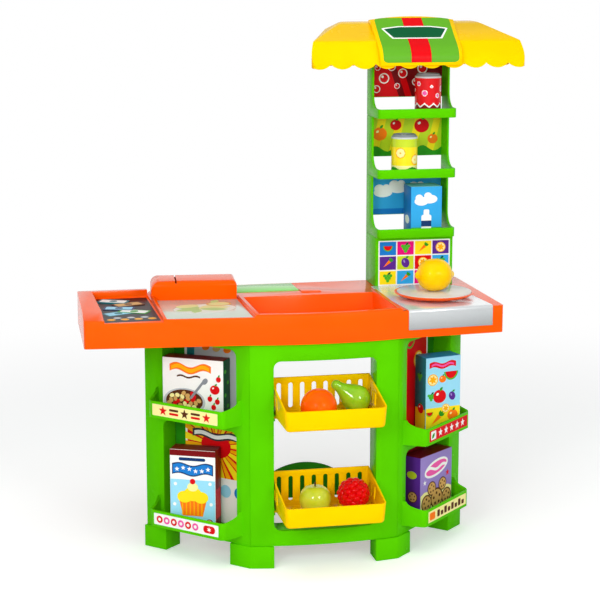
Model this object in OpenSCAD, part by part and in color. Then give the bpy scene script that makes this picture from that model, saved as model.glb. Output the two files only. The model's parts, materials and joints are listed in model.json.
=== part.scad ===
// Toy market stall: a bowed base on four corner feet with slanted shelf units and two pull-out
// baskets, a counter with till, belt, basin and weighing scale, and a shelf tower under an awning.
// X runs to the right, Y to the back and Z up. The origin lies under the middle of the whole stall.

/* [Base] */
// Half the distance between the two front foot corners
corner_x = 150; // [145:1:160]
// How far the front bows forward between those corners
bow = 16; // [12:1:20]
// Length of each slanted side along its feet
side_len = 258; // [252:1:275]
// Turn of the slanted sides from the front
side_angle = 45; // [42:1:48]
// Depth of a side unit from its foot face to its back panel
side_depth = 43; // [42:0.5:50]
// Height of the feet
foot_h = 44; // [36:1:52]
// Height of the base's top edge, where the counter sits
base_top = 446; // [440:1:460]
// Wall of the base mouldings
base_wall = 4; // [3:0.5:5]
// Step from a foot's face back to the panel's face
panel_step = 4; // [3:0.5:5]
// Length of a front foot along the front
foot_front = 48; // [40:1:60]
// Length of a front foot along the slanted side
foot_side = 47; // [40:1:60]
// Depth of the front feet
foot_depth = 40; // [30:1:46]
// Length of a rear foot along the slanted side
rear_foot = 54; // [46:1:62]

/* [Front opening] */
// Half width of the opening in the front panel
open_half = 101.5; // [99:0.5:106]
// Height of the opening's lower edge
open_bottom = 75; // [66:1:80]
// Height of the panel over the opening
open_head = 33; // [24:1:41]
// Radius of the opening's corners
open_r = 14; // [6:1:18]
// Depth to the rear edge of the opening's returned frame
open_return = 46; // [42:1:52]

/* [Side shelves] */
// Start of the windows along the slanted side
win_start = 32; // [28:1:36]
// End of the windows along the slanted side
win_end = 210; // [206:1:216]
// Height of the head over the upper windows
win_head = 14; // [10:1:18]
// Radius of the windows' upper corners
win_r = 14; // [8:1:18]
// Height of the lower bins' underside
lower_bin_z = 62; // [58:1:68]
// Drop of the left upper bin's underside under the base's top
left_bin_drop = 161; // [158:1:166]
// Drop of the right upper bin's underside under the base's top
right_bin_drop = 218; // [210:1:224]
// Height of the bins' lips
lip_h = 34; // [28:1:38]
// Reach of the bins in front of the foot face
bin_reach = 43; // [42:0.5:48]
// Slant of a bin's ends along the side
bin_slant = 14; // [8:1:16]
// Wall of the bins
bin_wall = 3.5; // [2.5:0.5:4]
// Gap between a lower window's top and the bin over it
win_gap = 16; // [12:1:18]

/* [Counter] */
// Reach of the counter's left end from the middle plane
counter_left = 459; // [445:1:475]
// Reach of the counter's right end from the middle plane
counter_right = 364; // [358:1:372]
// Turn of the counter's front edge on both wings
wing_angle = 5.3; // [4:0.1:7]
// Rear edge of the counter
counter_rear = 340; // [332:1:350]
// Height of the counter's deck over the base
counter_h = 54; // [48:1:60]
// Wall of the counter moulding
counter_wall = 4; // [3:0.5:5]

/* [Till and belt] */
// Width of the till's left rim
till_rim = 38; // [30:1:44]
// Right edge of the till from the middle plane
till_right = 309; // [305:1:313]
// Rear edge of the till
till_rear = 284; // [276:1:292]
// Depth of the till's floor under the deck
till_drop = 5; // [4:0.5:8]
// Height of the till's rim over the deck
till_rise = 10; // [6:1:14]
// Right edge of the belt from the middle plane
belt_right = 139; // [138:0.5:143]
// Front face of the register housing at its left end
register_front = 205; // [196:1:208]
// Depth of the register housing
register_run = 82; // [74:1:88]
// Height of the register housing
register_h = 38; // [34:1:50]

/* [Basin] */
// Left inner wall of the basin from the middle plane
basin_left = 128; // [120:1:129]
// Right inner wall of the basin from the middle plane
basin_right = 145; // [136:1:148]
// Rear inner wall of the basin
basin_rear = 205; // [190:1:216]
// Width of the basin's rim
rim_w = 9; // [7:0.5:10]
// Height of the basin's rim over the deck
rim_rise = 6; // [3:0.5:8]

/* [Scale] */
// Middle of the weighing pan across the stall
pan_x = 250; // [246:1:254]
// Middle of the weighing pan from the front corners
pan_y = 118; // [114:1:122]
// Radius of the weighing pan
pan_r = 80; // [72:1:82]
// Thickness of the weighing pan
pan_h = 7; // [6:0.5:10]
// Travel of the weighing pan
pan_travel = 4; // [2:0.5:5]
// Radius of the pan's stem
stem_r = 8; // [6:0.5:9]
// Radius of the well round the pan's spring
well_r = 21; // [18:0.5:24]
// Height of the silver plate's lower edge over the base
plate_rise = 16; // [10:1:26]

/* [Tower] */
// Middle of the tower from the middle plane
tower_x = 246; // [242:1:250]
// Width of the tower
tower_w = 165; // [156:1:170]
// Front face of the tower's foot
tower_front = 257; // [252:1:262]
// Height of the tower's foot over the deck
tower_foot = 103; // [95:1:112]
// Height of one shelf bay
shelf_pitch = 123; // [120:1:130]
// Height of a shelf's lip
shelf_lip = 19; // [14:1:24]
// Reach of a shelf's lip in front of the tower's foot
shelf_reach = 17; // [14:1:22]
// Set-back of a bay's side walls behind the foot's face
wall_back = 38; // [30:1:44]
// Height of the see-through gap over a shelf
gap_h = 36; // [30:1:44]
// Wall of the tower mouldings
tower_wall = 4; // [3:0.5:5]

/* [Awning] */
// Half width of the awning at its front
awning_half = 231; // [215:1:238]
// Half width of the awning at its rear
awning_back = 172; // [160:1:185]
// Half width of the awning's ridge
awning_ridge = 141; // [130:1:150]
// Front edge of the awning
awning_front = 222; // [214:1:226]
// Drop of the scallops under the top of the tower
awning_drop = 21; // [16:1:26]
// Height of the fold over the scallops' lowest points
fold_rise = 53; // [46:1:58]
// Set-back of the fold behind the front edge
fold_back = 28; // [22:1:34]
// Height of the ridge over the fold
ridge_rise = 35; // [28:1:42]
// Set-back of the ridge behind the fold
ridge_back = 58; // [50:1:64]
// Wall of the awning
awning_wall = 3; // [2.5:0.5:4]
// Count of scallops along the front
scallops = 10; // [8:1:12]
// Depth of the scallops
scallop_h = 10; // [6:1:12]
// Half width of the sign piece at its foot
sign_half = 85; // [78:1:90]
// How far the sign piece stands in front of the awning's edge
sign_proud = 3; // [2:0.5:5]

/* [Baskets] */
// Gap between a basket's rim and the opening on each side
basket_play = 1; // [0.6:0.1:2]
// Widening of a basket from floor to rim on each side
basket_draft = 4; // [2:0.5:5]
// Front wall of a basket at its rim
basket_front = 104; // [98:1:112]
// Lean of a basket's front wall
basket_lean = 4; // [2:0.5:6]
// Rear wall of a basket
basket_back = 50; // [46:1:56]
// Height of a basket's front wall
basket_low = 40; // [34:1:46]
// Height of a basket's rear wall
basket_high = 72; // [66:1:78]
// Drop of the upper basket's underside under the base's top
upper_basket_drop = 149; // [146:1:156]
// Height of the lower basket's underside
lower_basket_z = 108; // [100:1:112]
// Wall of the baskets
basket_wall = 3; // [2.5:0.5:3.5]
// Radius of a basket's front corners
basket_r = 10; // [9:0.5:14]
// Radius of a basket's lower edges
basket_edge_r = 6; // [5:0.5:6]
// Count of slots in a basket's rear wall
basket_slots = 8; // [6:1:9]

/* [Play food] */
// Radius of the orange
orange_r = 35; // [30:1:36]
// Radius of the apple
apple_r = 31; // [28:1:34]
// Radius of the berry fruit
berry_r = 33; // [30:1:36]
// Radius of the pear's fat end
pear_r = 28; // [24:1:29]
// Length of the pear over the middle of its fat end
pear_len = 60; // [48:1:62]
// Length of the lemon
lemon_len = 80; // [70:1:88]
// Radius of the lemon
lemon_r = 32; // [26:1:34]
// Radius of a drinks can
can_r = 27; // [23:1:29]
// Height of a drinks can
can_h = 85; // [76:1:88]
// Width of the milk carton
milk_w = 66; // [56:1:72]
// Depth of the milk carton
milk_d = 58; // [50:1:62]
// Height of the milk carton
milk_h = 101; // [90:1:103]

/* [Packs] */
// Width of the cereal box
cereal_w = 128; // [115:1:130]
// Depth of the cereal box
cereal_d = 36; // [30:1:37]
// Share of its window's height that the cereal box fills
cereal_fill = 0.796; // [0.72:0.002:0.8]
// Width of the snack box
snack_w = 93; // [85:1:96]
// Depth of the snack box
snack_d = 40; // [34:1:41]
// Share of the height between the left bins that the snack box fills
snack_fill = 0.717; // [0.67:0.001:0.726]
// Width of the fruit box
fruit_w = 81; // [74:1:82]
// Depth of the fruit box
fruit_d = 43; // [36:1:44]
// Share of its window's height that the fruit box fills
fruit_fill = 0.75; // [0.7:0.002:0.764]
// Width of the cookie box
cookie_w = 113; // [104:1:116]
// Depth of the cookie box
cookie_d = 42; // [36:1:46]
// Share of the height between the right bins that the cookie box fills
cookie_fill = 0.723; // [0.66:0.001:0.734]

/* [Hidden] */

// Overrun of every cut, the gap round loose pieces and the steps of an outline's arc
over = 2;
clear = 0.4;
arc_steps = 6;
$fn = 96;

// Front bow as a circle through both corners, and the mitre where it meets a slanted side
bow_r = (corner_x * corner_x + bow * bow) / (2 * bow);
bow_mid = bow_r - bow;
bow_facets = 720;
corner_tangent = asin(corner_x / bow_r);
mitre = (corner_tangent + side_angle) / 2;
side_mitre = side_angle - mitre;

// Base
flange_w = 24;
side_end = side_len - panel_step;
face_in = panel_step + base_wall;
post_back = side_depth + base_wall;
win_top = base_top - win_head;
open_top = base_top - open_head;
left_bin_z = base_top - left_bin_drop;
right_bin_z = base_top - right_bin_drop;
back_t = 3;
sweep_r = 16;
bin_corner_r = 12;
bin_root = win_start - bin_slant;
bin_root_end = win_end + bin_slant;
brace_t = 6;
brace_in = 12.5;
brace_rear = (side_end - brace_in) * sin(side_angle) + post_back * cos(side_angle);
brace_low = 76;
brace_shoulder = 128;
brace_top = 150;
brace_r = 130;

// Counter
deck_z = base_top + counter_h;
deck_low = deck_z - counter_wall;
left_taper = 10;
right_taper = 4;
step_run = 20;
end_r = 6;
bow_steps = 28;
counter_flange = 35;
flange_t = 3;
rib_t = 3;
left_front = (counter_left - corner_x) * tan(wing_angle);
right_front = (counter_right - corner_x) * tan(wing_angle);
till_floor = deck_z - till_drop;
till_top = deck_z + till_rise;
till_left = counter_left - till_rim;
till_rear_rim = 14;
till_slope_run = 41;
partition_w = 6;
belt_left = till_right - partition_w;
belt_t = 3;
belt_front = 6;
belt_skew = (belt_left - belt_right) * tan(wing_angle);
register_r = 10;
register_end_r = 18;
register_left = till_right - clear;
register_w = (register_left - belt_right) / cos(wing_angle);
register_wall = 3;
swipe_w = 3;
swipe_depth = 5;
swipe_share = 0.28;
basin_floor = base_top + counter_wall;
rim_chamfer = 2;
deck_plate_left = 128;
deck_plate_right = 2;
deck_plate_front = 254;
deck_plate_margin = 4;
deck_plate_t = 2;
deck_plate_sink = 1.5;
tab_w = 40;
tab_run = 34;
tab_rise = 2.5;
tab_back = 8;

// Scale
plate_t = 2.5;
plate_r = 6;
plate_low = base_top + plate_rise;
plate_start = 16;
plate_end = 191;
plate_gap = 0.5;
pan_gap = 0.5;
pan_low = deck_z + plate_t + pan_travel + pan_gap;
pan_top = pan_low + pan_h;
pan_taper = 9;
pan_rim = 5;
disc_t = 2.5;
disc_sink = 1.5;
well_rise = 16;
well_wall = 3;
well_floor = base_top + well_rise;
clip_t = 4;
clip_r = 13;
clip_top = well_floor - well_wall;
clip_gap = 0.15;
stem_tail = 2;
stem_low = clip_top - clip_t - stem_tail;
spring_wire = 1;
spring_r = (well_r + stem_r) / 2;
spring_turns = 6;
spring_steps = 14;
spring_sides = 6;

// Tower
tower_left = tower_x - tower_w / 2;
tower_right = tower_x + tower_w / 2;
tower_rear = counter_rear;
tower_base_top = deck_z + tower_foot;
bays = 3;
tower_top = tower_base_top + bays * shelf_pitch;
shelf_front = tower_front - shelf_reach;
shelf_floor = 3;
shelf_r = 9;
bay_front = tower_front + wall_back;
bay_sweep_r = 30;

// Awning
awning_low = tower_top - awning_drop;
fold_y = awning_front + fold_back;
fold_z = awning_low + fold_rise;
ridge_y = fold_y + ridge_back;
ridge_z = fold_z + ridge_rise;
rear_rise = 2;
valance_lean = fold_back / fold_rise;
fold_r = 12;
ridge_r = 30;
hip_rise = 24;
hip_in = 13;
hip_r = 14;
plan_r = 14;
awning_rib = 4;
side_scallops = 3;
sign_lift = 6;
sign_skirt = 21;
sign_over = 13;
sign_widen = 3;
sign_crown = 7;
sign_knee_back = 11;
sign_knee_rise = 16;
sign_brow_back = 37;
sign_brow_rise = 34;
sign_bend_r = 26;
sign_knee_r = 50;
sign_y = awning_front - sign_proud;
sign_low = awning_low + sign_lift;
sign_bend = sign_low + sign_skirt;
sign_top = ridge_z + sign_over;
crown_steps = 16;

// Baskets
upper_basket_z = base_top - upper_basket_drop;
basket_edge_steps = 4;
basket_half = open_half - basket_play - basket_draft;
slot_w = 9;
slot_margin = 11;
floor_slot_share = 0.26;
floor_row_share = 0.2;
side_slots = 3;
side_slot_h = 26;
runner_h = 5;
ledge_h = 4;
runner_w = open_half - basket_half - clear;
ledge_w = runner_w - basket_draft * (runner_h + clear + ledge_h) / basket_high;
runner_run = open_return - panel_step;

// Whole stall, for the origin
centre_x = (tower_x + awning_half - counter_left) / 2;
centre_y = (counter_rear - basket_front) / 2;

leaf_green = "#45c60d";
deep_green = "#2f9417";
counter_orange = "#ff6600";
sun_yellow = "#ffe600";
pale_grey = "#d9dcdb";
silver = "#b9bcc0";

// Points and outlines
function unit(v) = v / norm(v);
function left_normal(a, b) = let (d = unit(b - a)) [-d[1], d[0]];
function corner_inset(a, p, b, d) =
    let (n1 = left_normal(a, p), n2 = left_normal(p, b)) p + d * (n1 + n2) / (1 + n1 * n2);
function inset(points, d) =
    [for (i = [0:len(points) - 1]) let (n = len(points))
        corner_inset(points[(i + n - 1) % n], points[i], points[(i + 1) % n], d)];
function rounded_corner(a, p, b, r) =
    r <= 0 ? [p] :
    let (u = unit(a - p), v = unit(b - p), half = acos(u * v) / 2,
         c = p + unit(u + v) * r / sin(half),
         s = p + u * r / tan(half) - c, e = p + v * r / tan(half) - c,
         start = atan2(s[1], s[0]), turn = atan2(cross(s, e), s * e))
    [for (k = [0:arc_steps]) let (a = start + turn * k / arc_steps) c + r * [cos(a), sin(a)]];
function round_corners(points, radii) =
    [for (i = [0:len(points) - 1]) let (n = len(points))
        each rounded_corner(points[(i + n - 1) % n], points[i], points[(i + 1) % n], radii[i])];
function rectangle(x0, x1, z0, z1) = [[x0, z0], [x1, z0], [x1, z1], [x0, z1]];
function bow_y(x) = bow_mid - sqrt(bow_r * bow_r - x * x);

// Common solids
module part(tint) {
    color(tint) translate([-centre_x, -centre_y, 0]) children();
}
module block(x0, x1, y0, y1, z0, z1) {
    translate([x0, y0, z0]) cube([x1 - x0, y1 - y0, z1 - z0]);
}
module prism(points, z0, z1) {
    translate([0, 0, z0]) linear_extrude(z1 - z0) polygon(points);
}
module along_x(points, x0, x1) {
    translate([x0, 0, 0]) rotate([90, 0, 90]) linear_extrude(x1 - x0) polygon(points);
}
module along_y(points, y0, y1) {
    translate([0, y1, 0]) rotate([90, 0, 0]) linear_extrude(y1 - y0) polygon(points);
}
module both_sides() {
    children();
    mirror([1, 0, 0]) children();
}
module window(x0, x1, z0, z1, radii, y0, y1) {
    along_y(round_corners(rectangle(x0, x1, z0, z1), radii), y0, y1);
}
module slot_profile(width, length) {
    square([width, length - width], center = true);
    for (end = [-1, 1]) translate([0, end * (length - width) / 2]) circle(d = width);
}
module bow_disc(step, z0, z1) {
    translate([0, bow_mid, z0]) cylinder(r = bow_r - step, h = z1 - z0, $fn = bow_facets);
}
module on_hand(hand) {
    mirror([hand < 0 ? 1 : 0, 0, 0]) children();
}
module side_place(hand) {
    on_hand(hand) translate([corner_x, 0, 0]) rotate(side_angle) children();
}

// Front of the base
module front_wedge() {
    front = -bow - over;
    rear = open_return + over;
    narrow = tan(mitre);
    prism([[front * narrow - corner_x, front], [corner_x - front * narrow, front],
           [corner_x - rear * narrow, rear], [rear * narrow - corner_x, rear]], foot_h, base_top);
}
module front_shell() {
    difference() {
        bow_disc(panel_step, foot_h, base_top);
        bow_disc(face_in, foot_h + base_wall, base_top - base_wall);
        bow_disc(panel_step + flange_w, foot_h - over, base_top + over);
    }
}
module front_hole(grow, y0, y1) {
    r = open_r + grow;
    window(-open_half - grow, open_half + grow, open_bottom - grow, open_top + grow, [r, r, r, r], y0, y1);
}
module basket_ledges(z) {
    for (low = [z - ledge_h, z + runner_h + clear])
        both_sides() block(open_half - ledge_w, open_half + base_wall / 2, panel_step, open_return, low,
                           low + ledge_h);
}
module front_panel() {
    part(leaf_green) intersection() {
        front_wedge();
        bow_disc(panel_step, foot_h, base_top);
        union() {
            difference() {
                union() {
                    front_shell();
                    front_hole(base_wall, -bow, open_return);
                }
                front_hole(0, -bow - over, open_return + over);
            }
            basket_ledges(upper_basket_z);
            basket_ledges(lower_basket_z);
        }
    }
}

// Slanted side units, in a frame along the side with Y running inwards
function bin_plan(rear) =
    [[bin_root, rear], [win_start, -bin_reach], [win_end, -bin_reach], [bin_root_end, rear]];
module bin(z) {
    prism(round_corners(bin_plan(face_in), [0, bin_corner_r, bin_corner_r, 0]), z, z + lip_h + sweep_r);
    block(win_start, win_end, panel_step, side_depth, z, z + bin_wall);
}
module bin_hollow(z) {
    r = bin_corner_r - bin_wall;
    top = z + lip_h + sweep_r + over;
    prism(round_corners(inset(bin_plan(panel_step + bin_wall), bin_wall), [0, r, r, 0]), z + bin_wall, top);
    window(bin_root + bin_wall, bin_root_end - bin_wall, z + lip_h, top, [sweep_r, sweep_r, 0, 0],
           -bin_reach - over, panel_step);
}
module side_window(low, high) {
    window(win_start, win_end, low, high, [0, 0, win_r, win_r], panel_step - over, face_in + clear);
}
module side_shell() {
    narrow = tan(side_mitre);
    prism([[panel_step * narrow, panel_step], [side_end, panel_step], [side_end, face_in],
           [face_in * narrow, face_in]], foot_h, base_top);
    block(win_start - base_wall, win_start, panel_step, side_depth, foot_h, base_top);
    block(win_end, win_end + base_wall, panel_step, post_back, foot_h, base_top);
    block(side_end - base_wall, side_end, panel_step, post_back, foot_h, base_top);
    block(win_end + base_wall, side_end, side_depth, post_back, foot_h, base_top);
    block(win_start, side_end, panel_step, side_depth, base_top - base_wall, base_top);
    block(win_end, side_end, panel_step, side_depth, foot_h, foot_h + base_wall);
}
module side_unit(hand, upper_z) {
    part(leaf_green) side_place(hand) difference() {
        union() {
            side_shell();
            bin(lower_bin_z);
            bin(upper_z);
        }
        bin_hollow(lower_bin_z);
        bin_hollow(upper_z);
        side_window(lower_bin_z + bin_wall, upper_z - win_gap);
        side_window(upper_z + bin_wall, win_top);
    }
}
module left_side_unit() { side_unit(-1, left_bin_z); }
module right_side_unit() { side_unit(1, right_bin_z); }
module back_panel(hand) {
    part(deep_green) side_place(hand)
        block(win_start - base_wall, win_end - clear, side_depth, side_depth + back_t, foot_h, base_top);
}
module left_back_panel() { back_panel(-1); }
module right_back_panel() { back_panel(1); }

// Feet and brace
module front_foot(hand) {
    along = [cos(side_angle), sin(side_angle)];
    inward = [-sin(side_angle), cos(side_angle)];
    corner = [corner_x, 0];
    knee = [corner_x - foot_depth * tan(side_angle / 2), foot_depth];
    left = corner_x - foot_front;
    out = corner + foot_side * along;
    outline = [[left, -bow], [corner_x - bow / tan(side_angle), -bow], out, out + foot_depth * inward, knee,
               [left, foot_depth]];
    part(leaf_green) on_hand(hand) intersection() {
        bow_disc(0, 0, foot_h);
        prism(outline, 0, foot_h);
    }
}
module front_left_foot() { front_foot(-1); }
module front_right_foot() { front_foot(1); }
module back_foot(hand) {
    part(leaf_green) side_place(hand) block(side_len - rear_foot, side_len, 0, post_back, 0, foot_h);
}
module rear_left_foot() { back_foot(-1); }
module rear_right_foot() { back_foot(1); }
function brace_end(y) = corner_x + y / tan(side_angle) - post_back / sin(side_angle);
module rear_brace() {
    front = brace_rear - brace_t;
    part(deep_green) intersection() {
        prism([[-brace_end(front), front], [brace_end(front), front], [brace_end(brace_rear), brace_rear],
               [-brace_end(brace_rear), brace_rear]], brace_low, brace_top);
        union() {
            block(-counter_left, counter_left, front, brace_rear, brace_low, brace_shoulder);
            translate([0, brace_rear, brace_top - brace_r])
                rotate([90, 0, 0]) cylinder(r = brace_r, h = brace_t);
        }
    }
}

// Counter
counter_points = concat(
    [[-counter_left, left_front]],
    [for (i = [0:bow_steps]) let (x = corner_x * (2 * i / bow_steps - 1)) [x, bow_y(x)]],
    [[counter_right, right_front], [counter_right - right_taper, counter_rear],
     [step_run - till_right, counter_rear], [-till_right, till_rear],
     [left_taper - counter_left, till_rear]]);
counter_radii = concat([end_r], [for (i = [0:bow_steps]) 0], [end_r, end_r, 0, 0, end_r]);
module counter_plan(z0, z1) {
    prism(round_corners(counter_points, counter_radii), z0, z1);
}
module counter_inside(step, z0, z1) {
    prism(inset(counter_points, step), z0, z1);
}
module basin_space(grow, z0, z1) {
    intersection() {
        block(-basin_left - grow, basin_right + grow, -bow - over, basin_rear + grow, z0, z1);
        counter_inside(rim_w - grow, z0, z1);
    }
}
module basin_form() {
    basin_space(counter_wall, base_top, deck_z);
    basin_space(rim_w, deck_low, deck_z + rim_rise - rim_chamfer);
    basin_space(rim_w - rim_chamfer, deck_low, deck_z + rim_rise);
}
module till_form() {
    rear = register_front - clear;
    along_x([[left_front - over, deck_low], [till_rear, deck_low], [till_rear, till_top],
             [left_front + till_slope_run, till_top], [left_front - over, deck_z]],
            -counter_left - over, -till_left);
    block(-till_left, -till_right, till_rear - till_rear_rim, till_rear, deck_low, till_top);
    along_x([[-over, deck_low], [rear, deck_low], [rear, till_top], [-over, deck_z]],
            -till_right, -belt_left);
    block(-till_left, -till_right, -bow, till_rear, till_floor - counter_wall, deck_low);
}
module counter_ribs() {
    for (x = [-till_right, -belt_right - rib_t, basin_right + rim_w, counter_right - counter_flange - rib_t])
        block(x, x + rib_t, -bow, counter_rear, base_top, deck_low);
}
module counter_shell() {
    difference() {
        counter_plan(base_top, deck_z);
        counter_inside(counter_wall, base_top + flange_t, deck_low);
        counter_inside(counter_flange, base_top - over, deck_low);
    }
}
module belt_plan(step, z0, z1) {
    intersection() {
        prism([[step - belt_left, -bow], [-belt_right - step, -bow],
               [-belt_right - step, register_front - belt_skew - step],
               [step - belt_left, register_front - step]], z0, z1);
        counter_inside(belt_front + step, z0, z1);
    }
}
module counter_top() {
    part(counter_orange) difference() {
        union() {
            counter_shell();
            intersection() {
                counter_plan(base_top, till_top);
                union() {
                    counter_ribs();
                    till_form();
                    basin_form();
                }
            }
            translate([pan_x, pan_y, clip_top]) cylinder(r = well_r + well_wall, h = deck_low - clip_top);
            block(deck_plate_right, deck_plate_right + tab_w, deck_plate_front + tab_back - tab_run,
                  deck_plate_front + tab_back, deck_low, deck_z + tab_rise);
        }
        basin_space(0, basin_floor, till_top);
        block(-basin_left - rim_w - over, basin_right + rim_w + over, basin_rear, basin_rear + rim_w + over,
              deck_z, till_top);
        block(-till_left, -till_right, -bow, till_rear - till_rear_rim, till_floor, till_top + over);
        belt_plan(0, deck_z - belt_t, till_top);
        block(-deck_plate_left, deck_plate_right, deck_plate_front, counter_rear - deck_plate_margin,
              deck_z - deck_plate_sink, deck_z + over);
        translate([pan_x, pan_y, well_floor]) cylinder(r = well_r, h = deck_z - well_floor + over);
        translate([pan_x, pan_y, clip_top - over]) cylinder(r = stem_r + clear, h = well_wall + 2 * over);
    }
}
module belt_plate() {
    part(pale_grey) belt_plan(clear, deck_z - belt_t, deck_z);
}
module register_form(step) {
    low = step > 0 ? -over : 0;
    high = register_h - step;
    side = rectangle(step, register_run - step, low, high);
    front = rectangle(step, register_w - step, low, high);
    intersection() {
        along_x(round_corners(side, [0, 0, register_r - step, register_r - step]), 0, register_w);
        along_y(round_corners(front, [0, 0, register_r - step, register_end_r - step]), 0, register_run);
    }
}
module register_housing() {
    part(counter_orange) translate([-register_left, register_front, deck_z]) rotate(-wing_angle)
    difference() {
        register_form(0);
        register_form(register_wall);
        translate([swipe_share * register_w, -over, register_h - swipe_depth])
            cube([swipe_w, register_run + 2 * over, swipe_depth + over]);
    }
}
module deck_plate() {
    part(leaf_green) block(clear - deck_plate_left, deck_plate_right - clear, deck_plate_front + clear,
                           counter_rear - deck_plate_margin - clear, deck_z - deck_plate_sink,
                           deck_z - deck_plate_sink + deck_plate_t);
}

// Weighing scale
module scale_plate() {
    profile = round_corners([[-plate_t, plate_low], [0, plate_low], [0, deck_z], [counter_rear, deck_z],
                             [counter_rear, deck_z + plate_t], [-plate_t, deck_z + plate_t]],
                            [0, 0, 0, 0, 0, plate_r]);
    part(silver) difference() {
        intersection() {
            translate([corner_x, 0, 0]) rotate(wing_angle) along_x(profile, plate_start, plate_end);
            block(basin_right + rim_w + plate_gap, counter_right, -bow, tower_front - plate_gap, plate_low,
                  deck_z + plate_t);
        }
        translate([pan_x, pan_y, deck_low]) cylinder(r = well_r, h = counter_wall + plate_t + over);
    }
}
module scale_pan() {
    floor_top = pan_top - disc_sink;
    part(counter_orange) translate([pan_x, pan_y, 0]) rotate_extrude() polygon(
        [[0, stem_low], [stem_r, stem_low], [stem_r, pan_low], [pan_r - pan_taper, pan_low],
         [pan_r, floor_top], [pan_r, pan_top], [pan_r - pan_rim, pan_top], [pan_r - pan_rim, floor_top],
         [0, floor_top]]);
}
module pan_disc() {
    part(pale_grey) translate([pan_x, pan_y, pan_top - disc_sink])
        cylinder(r = pan_r - pan_rim - clear, h = disc_t);
}
module stem_clip() {
    part(silver) translate([pan_x, pan_y, clip_top - clip_t]) difference() {
        cylinder(r = clip_r, h = clip_t);
        translate([0, 0, -over]) cylinder(r = stem_r + clip_gap, h = clip_t + 2 * over);
    }
}
function spring_ring(k) =
    let (turn = 360 * k / spring_steps, run = pan_low - well_floor - 2 * spring_wire,
         z = well_floor + spring_wire + run * k / (spring_turns * spring_steps))
    [for (j = [0:spring_sides - 1]) let (a = 360 * j / spring_sides, r = spring_r + spring_wire * cos(a))
        [r * cos(turn), r * sin(turn), z + spring_wire * sin(a)]];
module pan_spring() {
    count = spring_turns * spring_steps;
    sides = spring_sides;
    points = [for (k = [0:count]) each spring_ring(k)];
    walls = [for (k = [0:count - 1], j = [0:sides - 1]) let (next = (j + 1) % sides)
        [k * sides + j, (k + 1) * sides + j, (k + 1) * sides + next, k * sides + next]];
    caps = [[for (j = [0:sides - 1]) j], [for (j = [sides - 1:-1:0]) count * sides + j]];
    part(silver) translate([pan_x, pan_y, 0]) polyhedron(points, concat(walls, caps));
}

// Shelf tower
module tower_base() {
    part(leaf_green) difference() {
        block(tower_left, tower_right, tower_front, tower_rear, deck_z, tower_base_top);
        block(tower_left + tower_wall, tower_right - tower_wall, tower_front + tower_wall,
              tower_rear - tower_wall, deck_z - over, tower_base_top - tower_wall);
    }
}
module shelf(level) {
    z = tower_base_top + level * shelf_pitch;
    lip_top = z + shelf_lip;
    top = z + shelf_pitch;
    left = tower_left + tower_wall;
    right = tower_right - tower_wall;
    inner_r = shelf_r - tower_wall;
    plan = rectangle(tower_left, tower_right, shelf_front, tower_rear);
    side = [[shelf_front, z], [tower_rear, z], [tower_rear, top], [bay_front, top], [bay_front, lip_top],
            [shelf_front, lip_top]];
    part(leaf_green) difference() {
        intersection() {
            prism(round_corners(plan, [shelf_r, shelf_r, 0, 0]), z, top);
            along_x(round_corners(side, [0, 0, 0, 0, bay_sweep_r, 0]), tower_left, tower_right);
        }
        prism(round_corners(rectangle(left, right, shelf_front + tower_wall, tower_rear - tower_wall),
                            [inner_r, inner_r, 0, 0]), z + shelf_floor, top + over);
        block(left, right, bay_front, tower_rear + over, z + shelf_floor, z + gap_h);
    }
}
module lower_shelf() { shelf(0); }
module middle_shelf() { shelf(1); }
module upper_shelf() { shelf(2); }

// Awning, as what its side, face and plan outlines have in common
function awning_side(low) =
    [[awning_front + (low - awning_low) * valance_lean, low], [counter_rear, low],
     [counter_rear, ridge_z + rear_rise], [ridge_y, ridge_z], [fold_y, fold_z]];
function awning_face(low) =
    [[-awning_half, low], [awning_half, low], [awning_half, awning_low + hip_rise],
     [awning_half - hip_in, fold_z], [awning_ridge, ridge_z + rear_rise],
     [-awning_ridge, ridge_z + rear_rise], [hip_in - awning_half, fold_z],
     [-awning_half, awning_low + hip_rise]];
awning_plan = [[-awning_half, awning_front], [awning_half, awning_front], [awning_back, counter_rear],
               [-awning_back, counter_rear]];
module awning_form(step) {
    low = step > 0 ? awning_low - step - over : awning_low;
    hip = hip_r - step;
    ridge = ridge_r - step;
    side = round_corners(inset(awning_side(low), step), [0, 0, 0, ridge, fold_r - step]);
    face = round_corners(inset(awning_face(low), step), [0, 0, hip, hip, ridge, ridge, hip, hip]);
    plan = round_corners(inset(awning_plan, step), [plan_r - step, plan_r - step, 0, 0]);
    translate([tower_x, 0, 0]) intersection() {
        prism(plan, awning_low - over, sign_top);
        along_x(side, -awning_half, awning_half);
        along_y(face, awning_front - fold_back, counter_rear);
    }
}
module scallop_gaps(length, count) {
    pitch = length / count;
    r = (pitch * pitch / 4 + scallop_h * scallop_h) / (2 * scallop_h);
    difference() {
        translate([-over, -over]) square([length + 2 * over, scallop_h + over]);
        for (i = [1:count]) translate([i * pitch - pitch / 2, r]) circle(r = r);
    }
}
module awning_shell() {
    difference() {
        awning_form(0);
        awning_form(awning_wall);
    }
    intersection() {
        awning_form(0);
        for (x = [tower_left, tower_right - awning_rib])
            block(x, x + awning_rib, awning_front, counter_rear, tower_top, sign_top);
    }
}
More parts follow.
